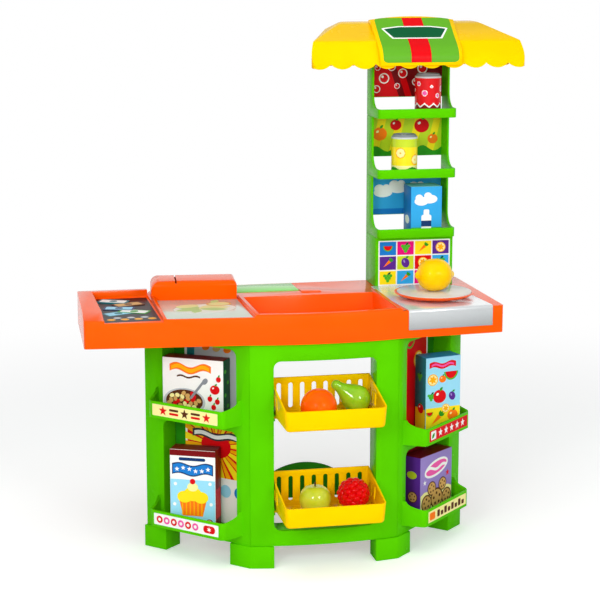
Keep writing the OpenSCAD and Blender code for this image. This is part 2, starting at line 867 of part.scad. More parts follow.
module awning() {
    run = counter_rear - awning_front;
    hip = awning_half - awning_back;
    deep = plan_r + fold_back;
    part(sun_yellow) difference() {
        awning_shell();
        translate([tower_x - awning_half, awning_front + plan_r, awning_low]) rotate([90, 0, 0])
            linear_extrude(deep) scallop_gaps(2 * awning_half, scallops);
        translate([tower_x, 0, 0]) both_sides() translate([awning_half, awning_front, awning_low])
            rotate(90 + atan2(hip, run)) translate([plan_r, awning_wall + over, 0]) rotate([90, 0, 0])
                linear_extrude(awning_wall + 2 * over)
                    scallop_gaps(norm([hip, run]) - plan_r + awning_wall, side_scallops);
        block(tower_left - over, tower_right + over, awning_front + deep, counter_rear + over,
              awning_low - over, tower_top);
    }
}
sign_face = [[sign_y, sign_low], [sign_y, sign_bend], [sign_y + sign_knee_back, sign_bend + sign_knee_rise],
             [sign_y + sign_brow_back, sign_bend + sign_brow_rise], [ridge_y, sign_top + over]];
sign_seat = concat(rounded_corner([counter_rear, ridge_z + rear_rise], [ridge_y, ridge_z], [fold_y, fold_z],
                                  ridge_r),
                   rounded_corner([ridge_y, ridge_z], [fold_y, fold_z], [awning_front, awning_low], fold_r),
                   [[awning_front + sign_lift * valance_lean, sign_low]]);
sign_radii = concat([0, sign_bend_r, sign_knee_r], [for (i = [3:len(sign_face) + len(sign_seat) - 1]) 0]);
module awning_sign() {
    top_half = sign_half + sign_widen;
    crown = [for (k = [0:crown_steps]) let (share = 1 - 2 * k / crown_steps)
        [top_half * share, sign_top - sign_crown * share * share]];
    part(sun_yellow) translate([tower_x, 0, 0]) intersection() {
        along_x(round_corners(concat(sign_face, sign_seat), sign_radii), -top_half - over, top_half + over);
        along_y(concat([[-sign_half, sign_low], [sign_half, sign_low]], crown), sign_y - over, counter_rear);
    }
}

// Baskets
function basket_half_at(z) = basket_half + basket_draft * z / basket_high;
function basket_front_at(z) = basket_front - basket_lean + basket_lean * z / basket_low;
function basket_ring(step, z) =
    let (x = basket_half_at(z) - step, front = step - basket_front_at(z), back = basket_back - step,
         r = basket_r - step)
    [for (p = round_corners(rectangle(-x, x, front, back), [r, r, 0, 0])) [p[0], p[1], z]];
module basket_form(step, low, high) {
    edge = basket_edge_r - step;
    lower = [for (k = [0:basket_edge_steps]) let (a = 90 * k / basket_edge_steps)
        basket_ring(step + edge * (1 - sin(a)), low + edge * (1 - cos(a)))];
    rings = concat(lower, [basket_ring(step, high)]);
    count = len(rings[0]);
    last = (len(rings) - 1) * count;
    walls = [for (i = [0:len(rings) - 2], j = [0:count - 1]) let (a = i * count, next = (j + 1) % count)
        [a + j, a + count + j, a + count + next, a + next]];
    caps = [[for (j = [0:count - 1]) j], [for (j = [count - 1:-1:0]) last + j]];
    polyhedron([for (ring = rings) each ring], concat(walls, caps));
}
module basket_slots_cut() {
    run = basket_front + basket_back;
    wide = 2 * (basket_half - basket_wall);
    pitch = wide / basket_slots;
    middle = (basket_back - basket_front) / 2;
    through = basket_wall + 2 * over;
    for (i = [1:basket_slots]) translate([i * pitch - pitch / 2 - wide / 2, 0, 0]) {
        translate([0, basket_back + over, basket_high / 2]) rotate([90, 0, 0])
            linear_extrude(through) slot_profile(slot_w, basket_high - 2 * slot_margin);
        for (row = [-1, 1]) translate([0, middle + row * floor_row_share * run, -over])
            linear_extrude(through) slot_profile(slot_w, floor_slot_share * run);
    }
    for (i = [1:side_slots]) translate([-corner_x, basket_back - i * pitch, basket_high / 2])
        rotate([90, 0, 90]) linear_extrude(2 * corner_x) slot_profile(slot_w, side_slot_h);
}
module basket(z) {
    far = basket_front + basket_lean + over;
    rim = [[-far, basket_low], [-basket_front, basket_low], [basket_back, basket_high],
           [basket_back + over, basket_high], [basket_back + over, 2 * basket_high],
           [-far, 2 * basket_high]];
    part(sun_yellow) translate([0, 0, z]) difference() {
        union() {
            basket_form(0, 0, basket_high);
            both_sides() block(basket_half - basket_edge_r, basket_half + runner_w, basket_back - runner_run,
                               basket_back, 0, runner_h);
        }
        basket_form(basket_wall, basket_wall, basket_high + over);
        along_x(rim, -corner_x, corner_x);
        basket_slots_cut();
    }
}
module upper_basket() { basket(upper_basket_z); }
module lower_basket() { basket(lower_basket_z); }

// Play food
upper_floor = upper_basket_z + basket_wall + clear;
lower_floor = lower_basket_z + basket_wall + clear;
round_steps = 24;
orange_shares = [-0.27, -0.23];
pear_shares = [0.66, 0.22];
apple_shares = [-0.23, 0.09];
berry_shares = [0.56, 0.08];
dimple_share = 0.16;
pear_angle = -53;
neck_share = 0.42;
lemon_nub_share = 0.22;
lemon_body_share = 0.93;
bump_share = 0.07;
bump_rows = 8;
bump_columns = 14;
function in_basket(shares) =
    [shares[0] * basket_half,
     (basket_back - basket_front) / 2 + shares[1] * (basket_front + basket_back)];
function apple_point(a) = apple_r * (1 - dimple_share * pow(abs(sin(a)), 10)) * [cos(a), sin(a)];
function pear_points(neck, shoulder) =
    concat([for (k = [0:arc_steps]) let (a = 90 * k / arc_steps - 90) pear_r * [cos(a), sin(a)]],
           [for (k = [1:arc_steps - 1]) let (swell = (1 + cos(180 * k / arc_steps)) / 2)
               [neck + (pear_r - neck) * swell, shoulder * k / arc_steps]],
           [for (k = [0:arc_steps]) let (a = 90 * k / arc_steps) [neck * cos(a), shoulder + neck * sin(a)]]);
function lemon_radius(s) =
    lemon_r * max(sqrt(max(0, 1 - pow(s / lemon_body_share, 2))),
                  lemon_nub_share * sqrt(max(0, 1 - pow(s, 6))));
function berry_point(lat, lon) =
    let (row = floor((lat + 90) * bump_rows / 180), shift = 180 / bump_columns * (row % 2),
         swell = abs(sin((lat + 90) * bump_rows)) * abs(sin((lon + shift) * bump_columns / 2)))
    berry_r * (1 - bump_share + bump_share * swell) * [cos(lat) * cos(lon), cos(lat) * sin(lon), sin(lat)];
module orange() {
    at = in_basket(orange_shares);
    part("#ff7a1a") translate([at[0], at[1], upper_floor + orange_r]) sphere(r = orange_r);
}
module apple() {
    at = in_basket(apple_shares);
    points = [for (k = [0:round_steps]) apple_point(180 * k / round_steps - 90)];
    low = min([for (p = points) p[1]]);
    part("#c9d820") translate([at[0], at[1], lower_floor - low]) rotate_extrude() polygon(points);
}
module pear() {
    neck = pear_r * neck_share;
    at = in_basket(pear_shares);
    part("#8fc31f") translate([at[0], at[1], upper_floor + pear_r]) rotate([0, pear_angle, 0])
        rotate_extrude() polygon(pear_points(neck, pear_len - neck));
}
module berry() {
    rows = 2 * bump_rows;
    columns = 3 * bump_columns;
    at = in_basket(berry_shares);
    rings = [for (i = [1:rows - 1], j = [0:columns - 1])
        berry_point(180 * i / rows - 90, 360 * j / columns)];
    points = concat(rings, [berry_point(-90, 0), berry_point(90, 0)]);
    foot = (rows - 1) * columns;
    top = (rows - 2) * columns;
    bands = [for (i = [0:rows - 3], j = [0:columns - 1])
        let (a = i * columns + j, b = i * columns + (j + 1) % columns)
        each [[a, a + columns, b + columns], [a, b + columns, b]]];
    caps = [for (j = [0:columns - 1]) let (next = (j + 1) % columns)
        each [[foot, j, next], [foot + 1, top + next, top + j]]];
    low = min([for (p = points) p[2]]);
    part("#e0101c") translate([at[0], at[1], lower_floor - low]) polyhedron(points, concat(bands, caps));
}
module lemon() {
    points = [for (k = [0:2 * round_steps]) let (s = k / round_steps - 1)
        [lemon_radius(s), lemon_len / 2 * s]];
    part("#ffd800") translate([pan_x, pan_y, pan_top - disc_sink + disc_t + lemon_r + clear])
        rotate([0, 90, 0]) rotate_extrude() polygon(points);
}

// Packs of card stand in the bins against the back panels
pack_fold = 1.5;
pack_gap = 1.5;
cereal_h = cereal_fill * (win_top - left_bin_z);
snack_h = snack_fill * (left_bin_z - lower_bin_z);
fruit_h = fruit_fill * (win_top - right_bin_z);
cookie_h = cookie_fill * (right_bin_z - lower_bin_z);
cereal_share = 0.553;
cereal_angle = -14;
snack_share = 0.54;
snack_angle = -20;
snack_gap = 9;
fruit_share = 0.695;
fruit_angle = -30.7;
cookie_share = 0.606;
cookie_angle = -5.2;
cookie_gap = 3;
module pack(w, d, h) {
    profile = round_corners(rectangle(-d / 2, d / 2, 0, h), [pack_fold, pack_fold, pack_fold, pack_fold]);
    along_x(profile, -w / 2, w / 2);
}
module bin_pack(hand, w, d, h, share, turn, gap, z) {
    reach = w / 2 * abs(sin(turn)) + d / 2 * cos(turn);
    along = win_start + share * (win_end - win_start);
    side_place(hand) translate([along, side_depth - gap - reach, z + bin_wall + clear]) rotate(turn)
        pack(w, d, h);
}
module cereal_box() {
    part("#f4f4f2") bin_pack(-1, cereal_w, cereal_d, cereal_h, cereal_share, cereal_angle, pack_gap,
                             left_bin_z);
}
module snack_box() {
    part("#2f86d8") bin_pack(-1, snack_w, snack_d, snack_h, snack_share, snack_angle, snack_gap,
                             lower_bin_z);
}
module fruit_box() {
    part("#8ed4ee") bin_pack(1, fruit_w, fruit_d, fruit_h, fruit_share, fruit_angle, pack_gap, right_bin_z);
}
module cookie_box() {
    part("#8a6fb8") bin_pack(1, cookie_w, cookie_d, cookie_h, cookie_share, cookie_angle, cookie_gap,
                             lower_bin_z);
}

// Goods on the tower's shelves
can_shares = [0.38, -0.24];
can_neck_share = 0.86;
can_taper = 6;
can_seam = 2;
goods_gap = 4;
milk_share = 0.3;
function bay_floor(level) = tower_base_top + level * shelf_pitch + shelf_floor + clear;
function bay_x(share) = tower_x + share * (tower_w / 2 - tower_wall);
module can(share, level, tint) {
    neck = can_r * can_neck_share;
    part(tint) translate([bay_x(share), shelf_front + tower_wall + goods_gap + can_r, bay_floor(level)])
        rotate_extrude() polygon(
            [[0, can_seam], [neck - can_seam, can_seam], [neck - can_seam, 0], [neck, 0], [can_r, can_taper],
             [can_r, can_h - can_taper], [neck, can_h - can_seam], [neck, can_h], [neck - can_seam, can_h],
             [neck - can_seam, can_h - can_seam], [0, can_h - can_seam]]);
}
module red_can() { can(can_shares[0], 2, "#c8141e"); }
module yellow_can() { can(can_shares[1], 1, "#d8dc30"); }
module milk_carton() {
    part("#5cb8ea")
        translate([bay_x(milk_share), shelf_front + tower_wall + 2 * goods_gap + milk_d / 2, bay_floor(0)])
            pack(milk_w, milk_d, milk_h);
}

front_panel();
left_side_unit();
right_side_unit();
left_back_panel();
right_back_panel();
front_left_foot();
front_right_foot();
rear_left_foot();
rear_right_foot();
rear_brace();
counter_top();
register_housing();
belt_plate();
deck_plate();
scale_plate();
scale_pan();
pan_disc();
pan_spring();
stem_clip();
tower_base();
lower_shelf();
middle_shelf();
upper_shelf();
awning();
awning_sign();
upper_basket();
lower_basket();
orange();
pear();
apple();
berry();
lemon();
cereal_box();
snack_box();
fruit_box();
cookie_box();
red_can();
yellow_can();
milk_carton();
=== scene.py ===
"""Toy market stall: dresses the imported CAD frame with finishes, prints, play food and studio light."""

import json
import logging
import math
from dataclasses import dataclass
from enum import Enum
from typing import Callable, Optional, Sequence

import bmesh
import bpy
from mathutils import Matrix, Vector
from mathutils.bvhtree import BVHTree

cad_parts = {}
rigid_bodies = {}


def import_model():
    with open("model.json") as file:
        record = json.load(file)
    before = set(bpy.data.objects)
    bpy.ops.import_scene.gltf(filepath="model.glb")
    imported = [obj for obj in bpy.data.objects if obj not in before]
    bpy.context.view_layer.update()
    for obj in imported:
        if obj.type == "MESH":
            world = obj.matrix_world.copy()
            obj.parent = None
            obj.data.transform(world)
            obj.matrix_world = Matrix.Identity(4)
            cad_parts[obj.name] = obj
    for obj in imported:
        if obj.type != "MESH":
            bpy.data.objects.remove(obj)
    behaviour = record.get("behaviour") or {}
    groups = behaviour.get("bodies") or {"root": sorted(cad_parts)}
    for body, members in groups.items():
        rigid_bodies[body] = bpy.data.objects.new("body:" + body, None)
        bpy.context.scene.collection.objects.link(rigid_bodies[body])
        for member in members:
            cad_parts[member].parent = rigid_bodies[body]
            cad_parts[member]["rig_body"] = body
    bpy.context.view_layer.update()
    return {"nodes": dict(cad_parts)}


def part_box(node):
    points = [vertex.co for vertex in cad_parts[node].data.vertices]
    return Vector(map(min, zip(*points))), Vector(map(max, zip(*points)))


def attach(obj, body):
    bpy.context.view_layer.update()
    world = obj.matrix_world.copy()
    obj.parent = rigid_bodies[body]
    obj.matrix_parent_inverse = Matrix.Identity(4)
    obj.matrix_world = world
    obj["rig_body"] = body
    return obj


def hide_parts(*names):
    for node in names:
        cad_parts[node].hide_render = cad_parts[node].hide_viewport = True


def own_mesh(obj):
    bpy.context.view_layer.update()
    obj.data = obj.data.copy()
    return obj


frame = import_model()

STALL = "stall"
MM = 0.001

# Plan of the part, in millimetres and degrees
PLAN_CENTRE_X = 9.0
PLAN_CENTRE_Y = 118.0
SIDE_TURN = 45.0
CORNER_X = 150.0

# Printed layers, in millimetres
PRINT_STEP = 0.15
PRINT_LIFT = 0.003
PRINT_SINK = 0.06
INK_NAME = "ink"

# Edges of the pieces, in degrees and metres
SHARP_ANGLE = 38.0
MERGE_DISTANCE = 2e-6
FLAT_ANGLE = 0.1
BEVEL_ANGLE = 40.0

# Places of the colour sockets on a Mix node
MIX_FACTOR = 0
MIX_FIRST = 6
MIX_SECOND = 7
MIX_RESULT = 2

# Directions for someone who faces the stall
RIGHT = Vector((1.0, 0.0, 0.0))
REAR = Vector((0.0, 1.0, 0.0))
UP = Vector((0.0, 0.0, 1.0))

FULL_WHITE = (1.0, 1.0, 1.0)
log = logging.getLogger(STALL)

Colour = tuple[float, float, float]
Place = tuple[float, float, float]
Node = bpy.types.Node
Point = tuple[float, float]
Painter = Callable[[float, float], Colour]
Drawing = Callable[["PrintFace"], None]


def linear(code: str) -> Colour:
    """Turns a six-digit sRGB code into a linear colour.

    Args:
        code: The colour as rrggbb.

    Returns:
        Red, green and blue as linear shares.
    """
    shares = [int(code[i:i + 2], 16) / 255 for i in (0, 2, 4)]
    return tuple(s / 12.92 if s <= 0.04045 else ((s + 0.055) / 1.055) ** 2.4 for s in shares)


def scaled(colour: Colour, share: float) -> Colour:
    """Multiplies a colour by a share."""
    return tuple(min(1.0, c * share) for c in colour)


def whitened(colour: Colour, white: float) -> tuple[float, ...]:
    """Mixes a share of white into a colour, for a colour socket."""
    return (*(white + (1 - white) * c for c in colour), 1.0)


class Ink(Enum):
    """Printing colours of the labels, posters and packs."""

    WHITE = "f6f6f2"
    CREAM = "fbf0a0"
    YELLOW = "ffe21a"
    AMBER = "ffb000"
    ORANGE = "ff7a10"
    RED = "de0812"
    DARK_RED = "7c0c12"
    PINK = "f05aa8"
    MAGENTA = "e6107c"
    PURPLE = "5a2a90"
    LILAC = "9a84c8"
    BLUE = "1c7cd0"
    SKY = "9adcf4"
    CYAN = "34a8e6"
    TEAL = "1e7c86"
    NAVY = "16386c"
    GREEN = "4ab82c"
    LEAF = "2f9a20"
    DARK_GREEN = "0c5a34"
    LIME = "c6dc28"
    BROWN = "5a3018"
    TAN = "d8a860"
    GREY = "8c9096"
    CHARCOAL = "34363a"
    COAL = "18191c"
    SILVER = "c4c8cc"
    PALE_GREEN = "b2d68c"
    PALE_YELLOW = "e4e4a4"
    PALE = "e6ece0"
    STICKER = "62ac28"

    @property
    def colour(self) -> Colour:
        """The ink as a linear colour."""
        return linear(self.value)


class Fruit(Enum):
    """Simple printed fruits, each with its main ink and its second ink."""

    ROUND = (Ink.RED, Ink.WHITE)
    CITRUS = (Ink.ORANGE, Ink.CREAM)
    PLUM = (Ink.PURPLE, Ink.LILAC)
    SLICE = (Ink.AMBER, Ink.CREAM)
    CARROT = (Ink.ORANGE, Ink.LEAF)
    GRAPES = (Ink.GREEN, Ink.DARK_GREEN)
    MELON = (Ink.RED, Ink.GREEN)


def from_plan(x: float, y: float, z: float) -> Vector:
    """Turns a place in the part's own plan, in millimetres, into the shared frame in metres."""
    return Vector(((x - PLAN_CENTRE_X) * MM, (y - PLAN_CENTRE_Y) * MM, z * MM))


def ring(steps: int) -> list[float]:
    """Lists even angles round a turn, in radians."""
    return [2 * math.pi * k / steps for k in range(steps)]


class Hand(Enum):
    """Side of the stall."""

    LEFT = -1
    RIGHT = 1

    def place(self, x: float, y: float, z: float) -> Vector:
        """Places a point of a slanted side: x along it from the front corner, y inwards."""
        c, s = math.cos(math.radians(SIDE_TURN)), math.sin(math.radians(SIDE_TURN))
        return from_plan(self.value * (CORNER_X + x * c - y * s), x * s + y * c, z)

    def across(self) -> Vector:
        """Direction from left to right for someone who looks at the side from outside."""
        c, s = math.cos(math.radians(SIDE_TURN)), math.sin(math.radians(SIDE_TURN))
        return Vector((c, self.value * s, 0.0))


class NodeTree:
    """Short calls for building a node tree."""

    def __init__(self, tree: bpy.types.NodeTree) -> None:
        """Takes a tree and empties it."""
        self.tree = tree
        self.tree.nodes.clear()

    def add(self, kind: str, values: Optional[dict] = None, **settings: object) -> Node:
        """Adds a node.

        Args:
            kind: Type of the node.
            values: Values of its inputs, by name or place.
            settings: Values of its properties.

        Returns:
            The node.
        """
        node = self.tree.nodes.new(kind)
        for key, value in settings.items():
            setattr(node, key, value)
        for key, value in (values or {}).items():
            node.inputs[key].default_value = value
        return node

    def link(self, source: Node, output: object, target: Node, socket: object) -> None:
        """Joins an output to an input, by name or place."""
        self.tree.links.new(source.outputs[output], target.inputs[socket])

    def mixed(self, first: Node, second: Node, share: Node, output: str) -> Node:
        """Mixes two shaders by the output of a third node.

        Args:
            first: Shader at share 0.
            second: Shader at share 1.
            share: Node that gives the share.
            output: Its output's name.

        Returns:
            The mix node.
        """
        node = self.add("ShaderNodeMixShader")
        self.link(share, output, node, 0)
        self.link(first, 0, node, 1)
        self.link(second, 0, node, 2)
        return node


class ShaderTree(NodeTree):
    """A material's node tree round one Principled shader."""

    def __init__(self, name: str) -> None:
        """Makes the material with its output, shader and coordinates.

        Args:
            name: Name of the material.
        """
        self.material = bpy.data.materials.new(name)
        self.material.use_nodes = True
        super().__init__(self.material.node_tree)
        self.shader = self.add("ShaderNodeBsdfPrincipled")
        self.place = self.add("ShaderNodeTexCoord")
        self.link(self.shader, "BSDF", self.add("ShaderNodeOutputMaterial"), "Surface")

    def set(self, **values: object) -> None:
        """Sets the shader's sockets by name, with underscores for spaces."""
        for key, value in values.items():
            self.shader.inputs[key.replace("_", " ")].default_value = value

    def noise(self, scale: float, detail: float = 3.0) -> Node:
        """Adds noise on the piece's own coordinates.

        Args:
            scale: How fine it is.
            detail: How many finer steps it has.

        Returns:
            The noise node.
        """
        node = self.add("ShaderNodeTexNoise", {"Scale": scale, "Detail": detail})
        self.link(self.place, "Object", node, "Vector")
        return node

    def ramp(self, source: Node, output: str, low: Colour, high: Colour,
             ends: Point = (0.3, 0.7)) -> Node:
        """Adds a ramp between two colours.

        Args:
            source: Node that drives the ramp.
            output: Its output's name.
            low: Colour at the first end.
            high: Colour at the second end.
            ends: Values where the ramp starts and stops.

        Returns:
            The ramp node.
        """
        node = self.add("ShaderNodeValToRGB")
        for element, place, colour in zip(node.color_ramp.elements, ends, (low, high)):
            element.position = place
            element.color = (*colour, 1.0)
        self.link(source, output, node, "Fac")
        return node

    def paint(self, colour: Node, shade: Optional[Node] = None) -> None:
        """Gives the shader a node's colour, multiplied by a second node's colour if there is one.

        Args:
            colour: Node with the colour.
            shade: Node to multiply it by, if any.
        """
        if shade is None:
            self.link(colour, "Color", self.shader, "Base Color")
            return
        node = self.add("ShaderNodeMix", {MIX_FACTOR: 1.0}, data_type="RGBA", blend_type="MULTIPLY")
        self.link(colour, "Color", node, MIX_FIRST)
        self.link(shade, "Color", node, MIX_SECOND)
        self.link(node, MIX_RESULT, self.shader, "Base Color")

    def roughen(self, source: Node, middle: float, spread: Point) -> None:
        """Drives the roughness by noise, between a little under and a little over its middle.

        Args:
            source: Noise that drives it.
            middle: Middle roughness.
            spread: How far it goes under and over the middle.
        """
        node = self.add("ShaderNodeMapRange", {"To Min": middle - spread[0], "To Max": middle + spread[1]})
        self.link(source, "Fac", node, "Value")
        self.link(node, "Result", self.shader, "Roughness")

    def bump(self, source: Node, output: str, strength: float, depth: float) -> None:
        """Adds relief to the shader.

        Args:
            source: Node that gives the height.
            output: Its output's name.
            strength: Strength of the relief.
            depth: Depth in metres.
        """
        node = self.add("ShaderNodeBump", {"Strength": strength, "Distance": depth})
        self.link(source, output, node, "Height")
        self.link(node, "Normal", self.shader, "Normal")


@dataclass(frozen=True)
class Finish:
    """A finish whose material is made once."""

    name: str

    def material(self) -> bpy.types.Material:
        """Returns the finish's material.

        Returns:
            The material, made at the first call.
        """
        made = bpy.data.materials.get(self.name)
        if made:
            return made
        tree = ShaderTree(self.name)
        self.dress(tree)
        return tree.material

    def dress(self, tree: ShaderTree) -> None:
        """Builds the finish's nodes."""
        raise NotImplementedError


@dataclass(frozen=True)
class Moulding(Finish):
    """Moulded plastic with a faint flow pattern and a fine skin. White is its shine's white share."""

    code: str
    roughness: float
    gloss: float = 0.3
    white: float = 0.15
    coat: float = 0.0
    coat_roughness: float = 0.06
    flow: float = 0.05
    flow_scale: float = 14.0
    mottle_scale: float = 40.0
    skin: float = 0.004
    skin_scale: float = 260.0
    skin_depth: float = 0.0002

    def dress(self, tree: ShaderTree) -> None:
        """Builds the plastic's nodes.

        Args:
            tree: The material's tree.
        """
        colour = linear(self.code)
        tree.set(Specular_IOR_Level=self.gloss, Specular_Tint=whitened(colour, self.white),
                 Coat_Weight=self.coat, Coat_Roughness=self.coat_roughness)
        flow = tree.noise(self.flow_scale, 2.0)
        tree.paint(tree.ramp(flow, "Fac", scaled(colour, 1 - self.flow), scaled(colour, 1 + self.flow / 2)))
        tree.roughen(tree.noise(self.mottle_scale, 2.0), self.roughness, (0.03, 0.04))
        tree.bump(tree.noise(self.skin_scale, 1.0), "Fac", self.skin, self.skin_depth)


@dataclass(frozen=True)
class SilverPaint(Finish):
    """Silver plastic with fine flakes and a painted highlight that pales its colour with height up to the
    fold of the scale's plate. Heights in metres.
    """

    code: str
    roughness: float
    fold: Point = (0.452, 0.494)
    painted_highlight: Point = (0.68, 1.12)
    metal: float = 0.6
    gloss: float = 0.5
    flake_scale: float = 2600.0
    flake_relief: float = 0.04
    flake_depth: float = 0.0001
    mottle_scale: float = 60.0

    def dress(self, tree: ShaderTree) -> None:
        """Builds the paint's nodes.

        Args:
            tree: The material's tree.
        """
        tree.set(Metallic=self.metal, Specular_IOR_Level=self.gloss)
        colour = linear(self.code)
        flakes = tree.noise(self.flake_scale, 1.0)
        apart = tree.add("ShaderNodeSeparateXYZ")
        tree.link(tree.place, "Object", apart, "Vector")
        # Painted highlight: the second ramp pales the colour with height, up to the fold of the scale's
        # plate, on every piece with this paint.
        tree.paint(tree.ramp(flakes, "Fac", scaled(colour, 0.9), scaled(colour, 1.1)),
                   tree.ramp(apart, "Z", (self.painted_highlight[0],) * 3, (self.painted_highlight[1],) * 3, self.fold))
        tree.roughen(tree.noise(self.mottle_scale), self.roughness, (0.06, 0.06))
        tree.bump(flakes, "Fac", self.flake_relief, self.flake_depth)


@dataclass(frozen=True)
class PrintedStock(Finish):
    """Printed card, label or can: its colours lie in the mesh, with paper fibre over them."""

    roughness: float
    fibre: float
    gloss: float
    fibre_scale: float = 700.0
    fibre_relief: float = 0.06
    fibre_depth: float = 0.0001
    mottle_scale: float = 120.0

    def dress(self, tree: ShaderTree) -> None:
        """Builds the stock's nodes.

        Args:
            tree: The material's tree.
        """
        tree.set(Specular_IOR_Level=self.gloss)
        fibre = tree.noise(self.fibre_scale, 4.0)
        tree.paint(tree.add("ShaderNodeAttribute", attribute_name=INK_NAME),
                   tree.ramp(fibre, "Fac", (1 - self.fibre,) * 3, FULL_WHITE))
        tree.roughen(tree.noise(self.mottle_scale), self.roughness, (0.05, 0.07))
        tree.bump(fibre, "Fac", self.fibre_relief, self.fibre_depth)


@dataclass(frozen=True)
class FruitSkin(Finish):
    """Skin of a play fruit: two blended colours, fine pits and a glaze that whitens its reflections."""

    code: str
    second: str
    pits: float
    pit_scale: float
    roughness: float
    glaze: float
    pit_depth: float = 0.0006
    depth: float = 0.004
    depth_share: float = 0.05
    blotch_scale: float = 38.0
    mottle_scale: float = 160.0

    def dress(self, tree: ShaderTree) -> None:
        """Builds the skin's nodes.

        Args:
            tree: The material's tree.
        """
        colour = linear(self.code)
        tree.set(Specular_IOR_Level=self.glaze, Specular_Tint=whitened(colour, self.glaze),
                 Subsurface_Weight=self.depth_share, Subsurface_Scale=self.depth)
        blotch = tree.noise(self.blotch_scale, 4.0)
        tree.paint(tree.ramp(blotch, "Fac", colour, linear(self.second), (0.35, 0.75)))
        tree.roughen(tree.noise(self.mottle_scale), self.roughness, (0.02, 0.03))
        cells = tree.add("ShaderNodeTexVoronoi", {"Scale": self.pit_scale}, feature="SMOOTH_F1")
        tree.link(tree.place, "Object", cells, "Vector")
        tree.bump(cells, "Distance", self.pits, self.pit_depth)


GREEN = Moulding("green_moulding", "57c802", 0.26, gloss=0.05)
DEEP_GREEN = Moulding("deep_green_moulding", "2a8a16", 0.42, gloss=0.2)
ORANGE = Moulding("orange_moulding", "ff5a00", 0.2, gloss=0.5, coat=0.1)
REGISTER_ORANGE = Moulding("register_moulding", "ff5a00", 0.2, gloss=0.3)
YELLOW = Moulding("yellow_moulding", "ffcc00", 0.26, gloss=0.06)
# A pale green, partly the plate's own colour and partly a painted reflection of the white around it, seen at
# a grazing angle.
PLATE_GREEN_PAINTED_SHEEN = Moulding("deck_plate_moulding", "80e058", 0.14, gloss=0.5, white=0.7)
BELT = Moulding("belt_moulding", "ced6c8", 0.16, gloss=0.5)
PAN = Moulding("pan_moulding", "dad6ce", 0.18, gloss=0.5)
STALK = Moulding("stalk_brown", "5a4020", 0.5)
# Both silver finishes carry the painted highlight that pales the colour with height.
STEEL = SilverPaint("spring_wire", "8c8f94", 0.3)
SILVER = SilverPaint("silver_plate_paint", "eef2f4", 0.24)
LABEL = PrintedStock("label_film", 0.34, 0.04, 0.1)
CARD = PrintedStock("coated_card", 0.4, 0.05, 0.12)
CAN = PrintedStock("can_print", 0.22, 0.03, 0.4)
ORANGE_SKIN = FruitSkin("orange_skin", "fc5a00", "ff6c02", 0.05, 420.0, 0.22, 0.3)
APPLE_SKIN = FruitSkin("apple_skin", "c4d420", "dee44c", 0.01, 160.0, 0.1, 0.9)
PEAR_SKIN = FruitSkin("pear_skin", "80c010", "a8d42c", 0.01, 200.0, 0.1, 0.9)
LEMON_SKIN = FruitSkin("lemon_skin", "ffc600", "ffd200", 0.07, 380.0, 0.22, 0.3)
BERRY_SKIN = FruitSkin("berry_skin", "d80004", "ea020c", 0.01, 300.0, 0.1, 0.45)


def body_of(node: str) -> str:
    """Looks up the body that a node rides on."""
    return frame["nodes"][node]["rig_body"]


def add_piece(name: str, mesh: bpy.types.Mesh, finish: Finish, body: str = STALL, node: Optional[str] = None,
              sharp: float = SHARP_ANGLE) -> bpy.types.Object:
    """Links a finished mesh as a piece of the stall.

    Args:
        name: Piece name.
        mesh: Mesh already in its place.
        finish: Finish whose material it takes.
        body: Body that it rides on.
        node: CAD node that it stands for, if any.
        sharp: Angle in degrees over which edges stay sharp.

    Returns:
        The new object.
    """
    mesh.materials.clear()
    mesh.materials.append(finish.material())
    mesh.shade_smooth()
    mesh.set_sharp_from_angle(angle=math.radians(sharp))
    piece = bpy.data.objects.new(name, mesh)
    bpy.context.scene.collection.objects.link(piece)
    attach(piece, body)
    if node:
        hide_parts(node)
    log.info("piece %s on %s", name, body)
    return piece


def evaluated_mesh(source: bpy.types.Object) -> bpy.types.Mesh:
    """Returns the mesh that an object's modifiers make, as plain data.

    Args:
        source: Object with modifiers.

    Returns:
        The plain mesh.
    """
    graph = bpy.context.evaluated_depsgraph_get()
    graph.update()
    return bpy.data.meshes.new_from_object(source.evaluated_get(graph))


def mesh_from(shape: bmesh.types.BMesh, name: str) -> bpy.types.Mesh:
    """Turns an edited shape into mesh data.

    Args:
        shape: Edited shape, which is freed.
        name: Name of the mesh.

    Returns:
        The mesh.
    """
    mesh = bpy.data.meshes.new(name)
    shape.to_mesh(mesh)
    shape.free()
    return mesh


def soften(node: str, finish: Finish, width: float) -> None:
    """Replaces a CAD node by a merged copy with rounded edges.

    Args:
        node: CAD node.
        finish: Finish of the copy.
        width: Width of the rounding in millimetres.
    """
    shape = bmesh.new()
    shape.from_mesh(frame["nodes"][node].data)
    bmesh.ops.remove_doubles(shape, verts=shape.verts, dist=MERGE_DISTANCE)
    bmesh.ops.dissolve_limit(shape, angle_limit=math.radians(FLAT_ANGLE), verts=shape.verts,
                             edges=shape.edges)
    trial = bpy.data.objects.new("rounding_trial", mesh_from(shape, node))
    bpy.context.scene.collection.objects.link(trial)
    bevel = trial.modifiers.new("edges", "BEVEL")
    bevel.width = width * MM
    bevel.segments = 2
    bevel.limit_method = "ANGLE"
    bevel.angle_limit = math.radians(BEVEL_ANGLE)
    result = evaluated_mesh(trial)
    bpy.data.objects.remove(trial)
    add_piece(node + "_shell", result, finish, body_of(node), node)


def turned(points: Sequence[Point], x: float, y: float, turn: float) -> list[Point]:
    """Turns an outline about its origin by degrees and moves it to a place."""
    c, s = math.cos(math.radians(turn)), math.sin(math.radians(turn))
    return [(x + u * c - v * s, y + u * s + v * c) for u, v in points]


